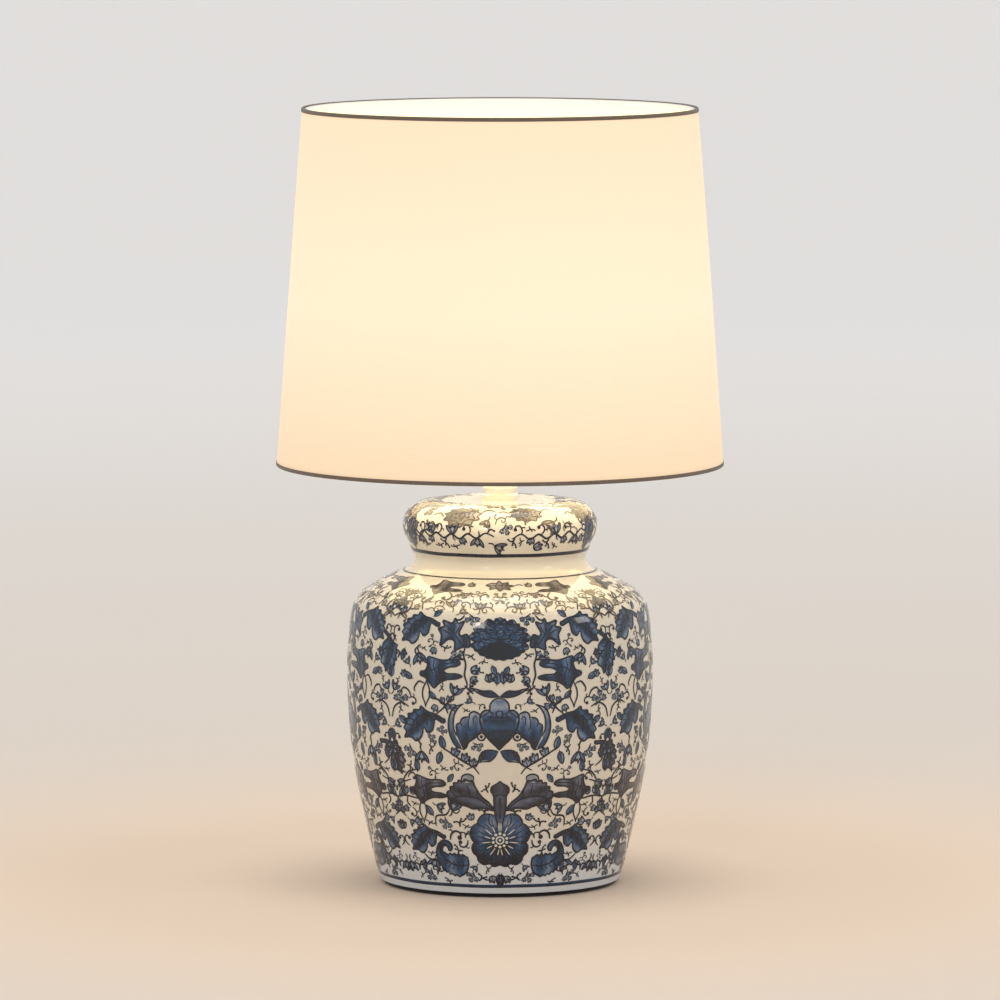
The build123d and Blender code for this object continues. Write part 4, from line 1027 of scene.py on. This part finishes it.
# ---- Cord grommet and foot fixings ------------------------------------------------------------------------
# A black rubber grommet is pressed into the hole low at the back. Under the floor, a rubber washer, a plated
# washer, a toothed washer and a nut pull the hollow rod down and clamp lid and jar together.

rubber = Finish("black_rubber", {"Specular IOR Level": 0.35})
rubber.mottle(rubber.noise(70, 4), [(0.010, 0.010, 0.011), (0.035, 0.034, 0.033)], (0.25, 0.45))
rubber.bump(rubber.noise(1400, 2), 0.25, 0.0002)
rubber.dress("cord_grommet", "foot_washer_rubber")

zinc = Finish("zinc_plate", {"Metallic": 1.0})
spangle = zinc.noise(260, 3, 0.6)
scratches = zinc.noise(90, 5, 0.7, zinc.stretched((1.0, 1.0, 14.0)))
zinc.mottle(spangle, [(0.50, 0.51, 0.50), (0.70, 0.69, 0.64)])
zinc.vary("Roughness", scratches * 0.3 + 0.22)
zinc.bump(scratches, 0.15, 0.0001)
zinc.dress("foot_washer_steel", "foot_lock_washer", "foot_nut", "threaded_rod", "holder_grub_screw",
           "terminal_screws")


# ---- Collars on the lid -----------------------------------------------------------------------------------
# Two turned rings stand on the lid's middle: a broad seat and a smaller round nut above it. They are pale
# lacquered brass, with fine turning marks and patches of darker lacquer.

def brass_finish(name, pale, dark, shine):
    brass = Finish(name, {"Metallic": 1.0})
    turning = brass.noise(900, 2, 0.5, brass.stretched((0.02, 0.02, 1.0)))
    tarnish = brass.noise(60, 5, 0.65)
    brass.mottle(tarnish, [pale, dark])
    brass.vary("Roughness", turning * 0.14 + tarnish * 0.12 + shine)
    brass.bump(turning, 0.06, 0.0001)
    return brass


pale_brass = brass_finish("pale_lacquered_brass", (1.0, 0.96, 0.84), (0.93, 0.85, 0.67), 0.20)
pale_brass.dress("seat_collar", "check_ring")
contact_brass = brass_finish("spring_brass", (0.86, 0.68, 0.34), (0.66, 0.46, 0.18), 0.2)
contact_brass.dress("contact_center", "contact_side")


# ---- Lampholder -------------------------------------------------------------------------------------------
# A white moulded E27 holder in two screwed halves, with a steatite insert that carries the brass contacts.
# Two threaded rings of the same moulding clamp the shade's fitter on the sleeve.

moulding = Finish("white_moulding", {"Specular IOR Level": 0.5})
flow = moulding.noise(18, 2)
texture = moulding.noise(1100, 2)
moulding.mottle(flow, [(0.78, 0.77, 0.72), (0.84, 0.83, 0.79)])
moulding.vary("Roughness", texture * 0.15 + 0.22)
moulding.bump(texture, 0.12, 0.0001)
moulding.dress("holder_cap", "holder_sleeve", "shade_ring_lower", "shade_ring_upper", "bulb_housing")

steatite = Finish("steatite", {"Specular IOR Level": 0.4})
pores = steatite.noise(500, 4, 0.7)
steatite.mottle(pores, [(0.74, 0.71, 0.64), (0.86, 0.84, 0.78)], (0.2, 0.45), (0.3, 0.0002))
steatite.dress("holder_insert")


# ---- Shade frame ------------------------------------------------------------------------------------------
# White powder-coated wire: a hoop in each edge, a flat fitter ring, and three arms that bend down to the
# bottom hoop. The powder leaves a fine orange-peel skin.

powder_coat = Finish("white_powder_coat", {"Specular IOR Level": 0.5})
peel = powder_coat.noise(1600, 2, 0.4)
dust = powder_coat.noise(40, 4)
powder_coat.mottle(dust, [(0.74, 0.73, 0.69), (0.84, 0.83, 0.80)])
powder_coat.vary("Roughness", peel * 0.12 + 0.30)
powder_coat.bump(peel, 0.3, 0.0002)
powder_coat.dress("bottom_wire_ring", "top_wire_ring", "fitter_ring", "spider_arm_1", "spider_arm_2",
                  "spider_arm_3")


# ---- Shade: liner and fabric ------------------------------------------------------------------------------
# A cream cotton in plain weave is laminated to a white film, rolled to a cone and lapped at the back. Lit
# from inside it glows: brightest level with the bulb, warmer towards the bottom.

fabric_low, fabric_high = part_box("shade_fabric")
SHADE_HEIGHT = fabric_high.z - fabric_low.z
FABRIC_THICKNESS = 0.0005
LAP_WIDTH = 0.015
BOTTOM_RADIUS = fabric_high.x
TOP_RADIUS = 0.1325
LAP_STEP = 0.00045
FABRIC_COLUMNS = 240
FABRIC_ROWS = 48


def shade_edge(height):
    """Radius of the shade's outer face at a height."""
    share = (height - fabric_low.z) / SHADE_HEIGHT
    return BOTTOM_RADIUS + (TOP_RADIUS - BOTTOM_RADIUS) * share


outer_side = [(shade_edge(height), height)
              for height in fabric_low.z + SHADE_HEIGHT * numpy.arange(FABRIC_ROWS + 1) / FABRIC_ROWS]
inner_side = [(radius - FABRIC_THICKNESS, height) for radius, height in outer_side[::-1]]
LAP_ANGLE = LAP_WIDTH / BOTTOM_RADIUS


def drape(place, angle):
    """How far the cloth stands off its cone: a slight belly, ripples, and the step of the lap at the back."""
    row = min(place, 2 * FABRIC_ROWS + 1 - place)
    pull = math.sin(math.pi * row / FABRIC_ROWS)
    ripple = 0.00016 * pull * math.sin(5 * angle + 0.8) + 0.00010 * pull * math.sin(13 * angle)
    lapped = abs(angle - math.pi) < LAP_ANGLE / 2 and 0 < place < FABRIC_ROWS
    return ripple + 0.00028 * pull + LAP_STEP * lapped


shade_cotton = turned("shade_cotton", outer_side + inner_side, FABRIC_COLUMNS, drape, closed=True)

cotton = Finish("lit_cream_cotton", {"Roughness": 0.9, "Sheen Weight": 0.1, "Specular IOR Level": 0.15,
                                     "Emission Strength": 1.0})
weft = cotton.noise(1.0, 3, 0.6, cotton.stretched((60.0, 60.0, 1500.0)))
warp = cotton.noise(1.0, 3, 0.6, cotton.stretched((1500.0, 1500.0, 45.0)))
slubs = cotton.noise(1.0, 4, 0.7, cotton.stretched((22.0, 22.0, 420.0)))
weave = weft * 0.5 + warp * 0.3 + slubs * 0.2
cotton.mottle(weave, [(0.34, 0.30, 0.23), (0.46, 0.41, 0.33)], bump=(0.35, 0.0003))


def level_in_shade(finish):
    """How high a point is in the shade, from 0 at its bottom edge to 1 at its top."""
    limits = {"Value": finish.height(), "From Min": fabric_low.z, "From Max": fabric_high.z}
    return finish.node("ShaderNodeMapRange", None, limits)


# Painted glow: the cloth's emission stands in for the bulb's light shining through it, graded by height.
glow = cotton.node("ShaderNodeValToRGB", {"stops": [
    (0.0, (0.64, 0.445, 0.275)), (0.10, (0.70, 0.500, 0.325)), (0.28, (0.775, 0.580, 0.400)),
    (0.45, (0.825, 0.645, 0.465)), (0.62, (0.815, 0.635, 0.450)), (0.85, (0.765, 0.575, 0.395)),
    (1.0, (0.735, 0.545, 0.365))]}, {"Fac": level_in_shade(cotton) + (weave - 0.5) * 0.05})
cotton.vary("Emission Color", cotton.blend((weave - 0.5) * 0.5 + 0.25, glow, (0.70, 0.52, 0.32)))
cotton.dress(shade_cotton)
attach(shade_cotton, "shade")
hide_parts("shade_fabric")

# Painted glow: the film's emission stands in for the bulb's light on the inside of the shade, brightest about
# a third of the way up and dim near the top.
liner = Finish("lit_white_film", {"Roughness": 0.5, "Emission Strength": 1.7})
film_grain = liner.noise(60, 4, 0.6, liner.stretched((1.0, 1.0, 3.0)))
inside_glow = liner.node("ShaderNodeValToRGB", {"stops": [
    (0.0, (0.62, 0.50, 0.32)), (0.35, (1.0, 0.86, 0.60)), (0.7, (0.80, 0.68, 0.46)),
    (0.92, (0.22, 0.18, 0.12))]}, {"Fac": level_in_shade(liner)})
liner.vary("Emission Color", liner.blend(film_grain * 0.1, inside_glow, (0.40, 0.33, 0.22)))
liner.mottle(film_grain, [(0.72, 0.68, 0.56), (0.80, 0.76, 0.64)], bump=(0.1, 0.0002))
liner.dress("shade_liner")


# ---- Shade: edge tapes ------------------------------------------------------------------------------------
# A dark taupe woven tape is folded over each edge and glued down: about two millimetres show outside, and
# three are turned inside behind the wire hoop.

TAPE_OUTSIDE = 0.0022
TAPE_INSIDE = 0.0032
TAPE_THICKNESS = 0.0004
SHADE_WALL = 0.001
TAPE_SEGMENTS = 288
TAPE_WAVER = 0.00004
FOLD_STEPS = 5


def edge_tape(name, node, edge, inward):
    """A folded tape. inward is 1 where the shade lies above the edge, and -1 where it lies below."""
    low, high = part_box(node)
    cap = low.z if inward > 0 else high.z
    outer_edge = shade_edge(edge)
    shares = [step / FOLD_STEPS for step in range(FOLD_STEPS + 1)]
    outline = []
    for share in shares[::-1]:
        height = edge + inward * TAPE_OUTSIDE * share
        outline.append((shade_edge(height) + TAPE_THICKNESS * (0.7 if share == 1 else 1.0), height))
    outline.append((outer_edge - 0.1 * SHADE_WALL, cap))
    outline.append((outer_edge - 0.9 * SHADE_WALL, cap))
    for share in shares:
        height = edge + inward * TAPE_INSIDE * share
        thickness = TAPE_THICKNESS * (0.7 if share == 1 else 1.0)
        outline.append((shade_edge(height) - SHADE_WALL - thickness, height))
    for share in shares[::-1]:
        height = edge + inward * TAPE_INSIDE * share
        outline.append((shade_edge(height) - SHADE_WALL, height))
    for share in shares:
        height = edge + inward * TAPE_OUTSIDE * share
        outline.append((shade_edge(height), height))
    if inward > 0:
        outline = outline[::-1]

    def waver(place, angle):
        return TAPE_WAVER * math.sin(19 * angle) if outline[place][0] > outer_edge else 0

    tape = turned(name, outline, TAPE_SEGMENTS, waver, closed=True)
    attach(tape, "shade")
    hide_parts(node)
    return tape


bottom_tape = edge_tape("bottom_edge_tape", "bottom_trim", fabric_low.z, 1)
top_tape = edge_tape("top_edge_tape", "top_trim", fabric_high.z, -1)
taupe = Finish("taupe_tape", {"Roughness": 0.85, "Sheen Weight": 0.2, "Specular IOR Level": 0.2})
ribs = taupe.noise(1.0, 2, 0.5, taupe.stretched((900.0, 900.0, 220.0)))
wear = taupe.noise(45, 4)
taupe.mottle(ribs * 0.6 + wear * 0.4, [(0.105, 0.078, 0.056), (0.235, 0.185, 0.140)])
taupe.bump(ribs, 0.6, 0.0003)
taupe.dress(bottom_tape, top_tape)


# ---- Bulb -------------------------------------------------------------------------------------------------
# A screw-in LED bulb: an opal dome over a ring of yellow phosphor chips on an aluminium board, a driver on
# green laminate in the white housing, and a nickel-plated screw cap with a black glass insulator.

opal = Finish("opal_diffuser", {"Roughness": 0.35, "Emission Strength": 10.0})
milk = opal.noise(25, 3)
opal.mottle(milk, [(0.86, 0.83, 0.75), (0.94, 0.92, 0.86)])
opal.vary("Emission Color", opal.blend(milk * 0.4, (1.0, 0.82, 0.54), (1.0, 0.76, 0.44)))
opal.bump(opal.noise(800, 2), 0.05, 0.0001)
opal.dress("bulb_dome")

board_metal = Finish("board_aluminium", {"Metallic": 0.6})
mask_grain = board_metal.noise(300, 3)
board_metal.mottle(mask_grain, [(0.74, 0.74, 0.73), (0.86, 0.86, 0.84)], (0.2, 0.3))
board_metal.dress("led_board")

phosphor = Finish("phosphor", {"Roughness": 0.4, "Emission Strength": 2.0})
grains = phosphor.noise(1500, 3)
phosphor.mottle(grains, [(0.80, 0.58, 0.10), (0.92, 0.74, 0.24)])
phosphor.vary("Emission Color", phosphor.blend(grains, (1.0, 0.72, 0.34), (1.0, 0.84, 0.52)))
phosphor.dress("led_chips")

laminate = Finish("board_laminate", {"Specular IOR Level": 0.5})
glass_cloth = laminate.noise(700, 2, 0.5, laminate.stretched((1.0, 0.3, 1.0)))
laminate.mottle(glass_cloth, [(0.02, 0.11, 0.04), (0.05, 0.19, 0.08)], (0.2, 0.3))
laminate.dress("driver_board")

nickel = Finish("nickel_shell", {"Metallic": 1.0})
drawn = nickel.noise(500, 3, 0.6, nickel.stretched((1.0, 1.0, 0.15)))
nickel.mottle(drawn, [(0.62, 0.60, 0.56), (0.78, 0.76, 0.71)], (0.25, 0.15), (0.1, 0.0001))
nickel.dress("bulb_cap")

vitrite = Finish("black_vitrite", {"Specular IOR Level": 0.6})
vitrite.mottle(vitrite.noise(180, 3), [(0.006, 0.006, 0.008), (0.025, 0.025, 0.032)], (0.15, 0.08))
vitrite.dress("bulb_insulator")

solder = Finish("solder", {"Metallic": 1.0})
dross = solder.noise(600, 4, 0.7)
solder.mottle(dross, [(0.50, 0.50, 0.49), (0.72, 0.72, 0.71)], (0.3, 0.2), (0.3, 0.0002))
solder.dress("bulb_contact")


# ---- Studio -----------------------------------------------------------------------------------------------
# The lamp stands on a round seamless sweep of pale paper, which curves up into a wall all the way round.
# The light is soft, from the open top and three cloth-covered boxes, and the camera looks a little down.

FLOOR_RADIUS = 6.0
BEND_RADIUS = 2.0
WALL_TOP = 5.0
SWEEP_SEGMENTS = 96
BEND_STEPS = 16
sweep_profile = [(radius, 0.0) for radius in (0, 0.4, 1.0, 2.0, 3.5, FLOOR_RADIUS)]
for step in range(1, BEND_STEPS + 1):
    angle = math.pi / 2 * step / BEND_STEPS
    sweep_profile.append((FLOOR_RADIUS + BEND_RADIUS * math.sin(angle), BEND_RADIUS * (1 - math.cos(angle))))
sweep_profile.append((FLOOR_RADIUS + BEND_RADIUS, WALL_TOP))
sweep = turned("studio_sweep", sweep_profile[::-1], SWEEP_SEGMENTS)
paper = Finish("studio_paper", {"Roughness": 0.9, "Specular IOR Level": 0.1, "Emission Strength": 1.0})
# The paper carries painted light: a warm pool close round the lamp stands in for the glow from the shade's
# mouth, and an emission that grows with distance stands in for light on the far floor and wall.
distance = paper.node("ShaderNodeVectorMath", {"operation": "LENGTH"}, {0: paper.place()}, output="Value")
spread = {"Value": distance, "From Min": 0.2, "From Max": 4.5}
painted_far_glow_share = paper.node("ShaderNodeMapRange", {"interpolation_type": "SMOOTHSTEP"}, spread)
run = paper.node("ShaderNodeMapRange", None, spread)
paper_tone_and_painted_lamp_pool = paper.node("ShaderNodeValToRGB", {"stops": [
    (0.02, (0.78, 0.625, 0.490)), (0.11, (0.755, 0.665, 0.575)), (0.4, (0.77, 0.710, 0.645)),
    (1.0, (0.80, 0.80, 0.80))]}, {"Fac": run})
paper.vary("Base Color", paper.blend(paper.noise(3, 2) * 0.06, paper_tone_and_painted_lamp_pool, (0.70, 0.67, 0.64)))
paper.vary("Emission Color", paper.blend(painted_far_glow_share, (0.0, 0.0, 0.0), (0.19, 0.172, 0.155)))
paper.dress(sweep)

world = bpy.data.worlds.new("studio_air")
world.use_nodes = True
air = world.node_tree.nodes["Background"]
air.inputs["Color"].default_value = (0.93, 0.96, 1.0, 1)
air.inputs["Strength"].default_value = 0.66
bpy.context.scene.world = world


def soft_light(name, place, target, width, height, power, colour):
    lamp = bpy.data.lights.new(name, "AREA")
    lamp.shape = "RECTANGLE"
    lamp.size = width
    lamp.size_y = height
    lamp.energy = power
    lamp.color = colour
    made = bpy.data.objects.new(name, lamp)
    made.location = place
    made.rotation_euler = (Vector(target) - Vector(place)).to_track_quat("-Z", "Y").to_euler()
    bpy.context.scene.collection.objects.link(made)


soft_light("left_window", (-0.83, -2.78, 1.24), (0, 0, 0.16), 0.50, 0.55, 6, (1.0, 0.98, 0.95))
soft_light("right_window", (2.60, -1.00, 1.30), (0, 0, 0.16), 0.60, 0.60, 5, (1.0, 0.98, 0.95))
soft_light("overhead", (0.0, 0.0, 3.4), (0, 0, 0), 2.6, 2.6, 41, (1.0, 0.98, 0.96))

CAMERA_PLACE = Vector((0, -5.4, 0.803))
CAMERA_AIM = Vector((0, 0, 0.258))
VIEW_ANGLE = 7.085
camera_lens = bpy.data.cameras.new("studio_camera")
camera_lens.sensor_fit = "HORIZONTAL"
camera_lens.angle = math.radians(VIEW_ANGLE)
camera = bpy.data.objects.new("studio_camera", camera_lens)
camera.location = CAMERA_PLACE
camera.rotation_euler = (CAMERA_AIM - CAMERA_PLACE).to_track_quat("-Z", "Y").to_euler()
bpy.context.scene.collection.objects.link(camera)
bpy.context.scene.camera = camera
bpy.context.scene.view_settings.view_transform = "Standard"

bpy.context.view_layer.update()
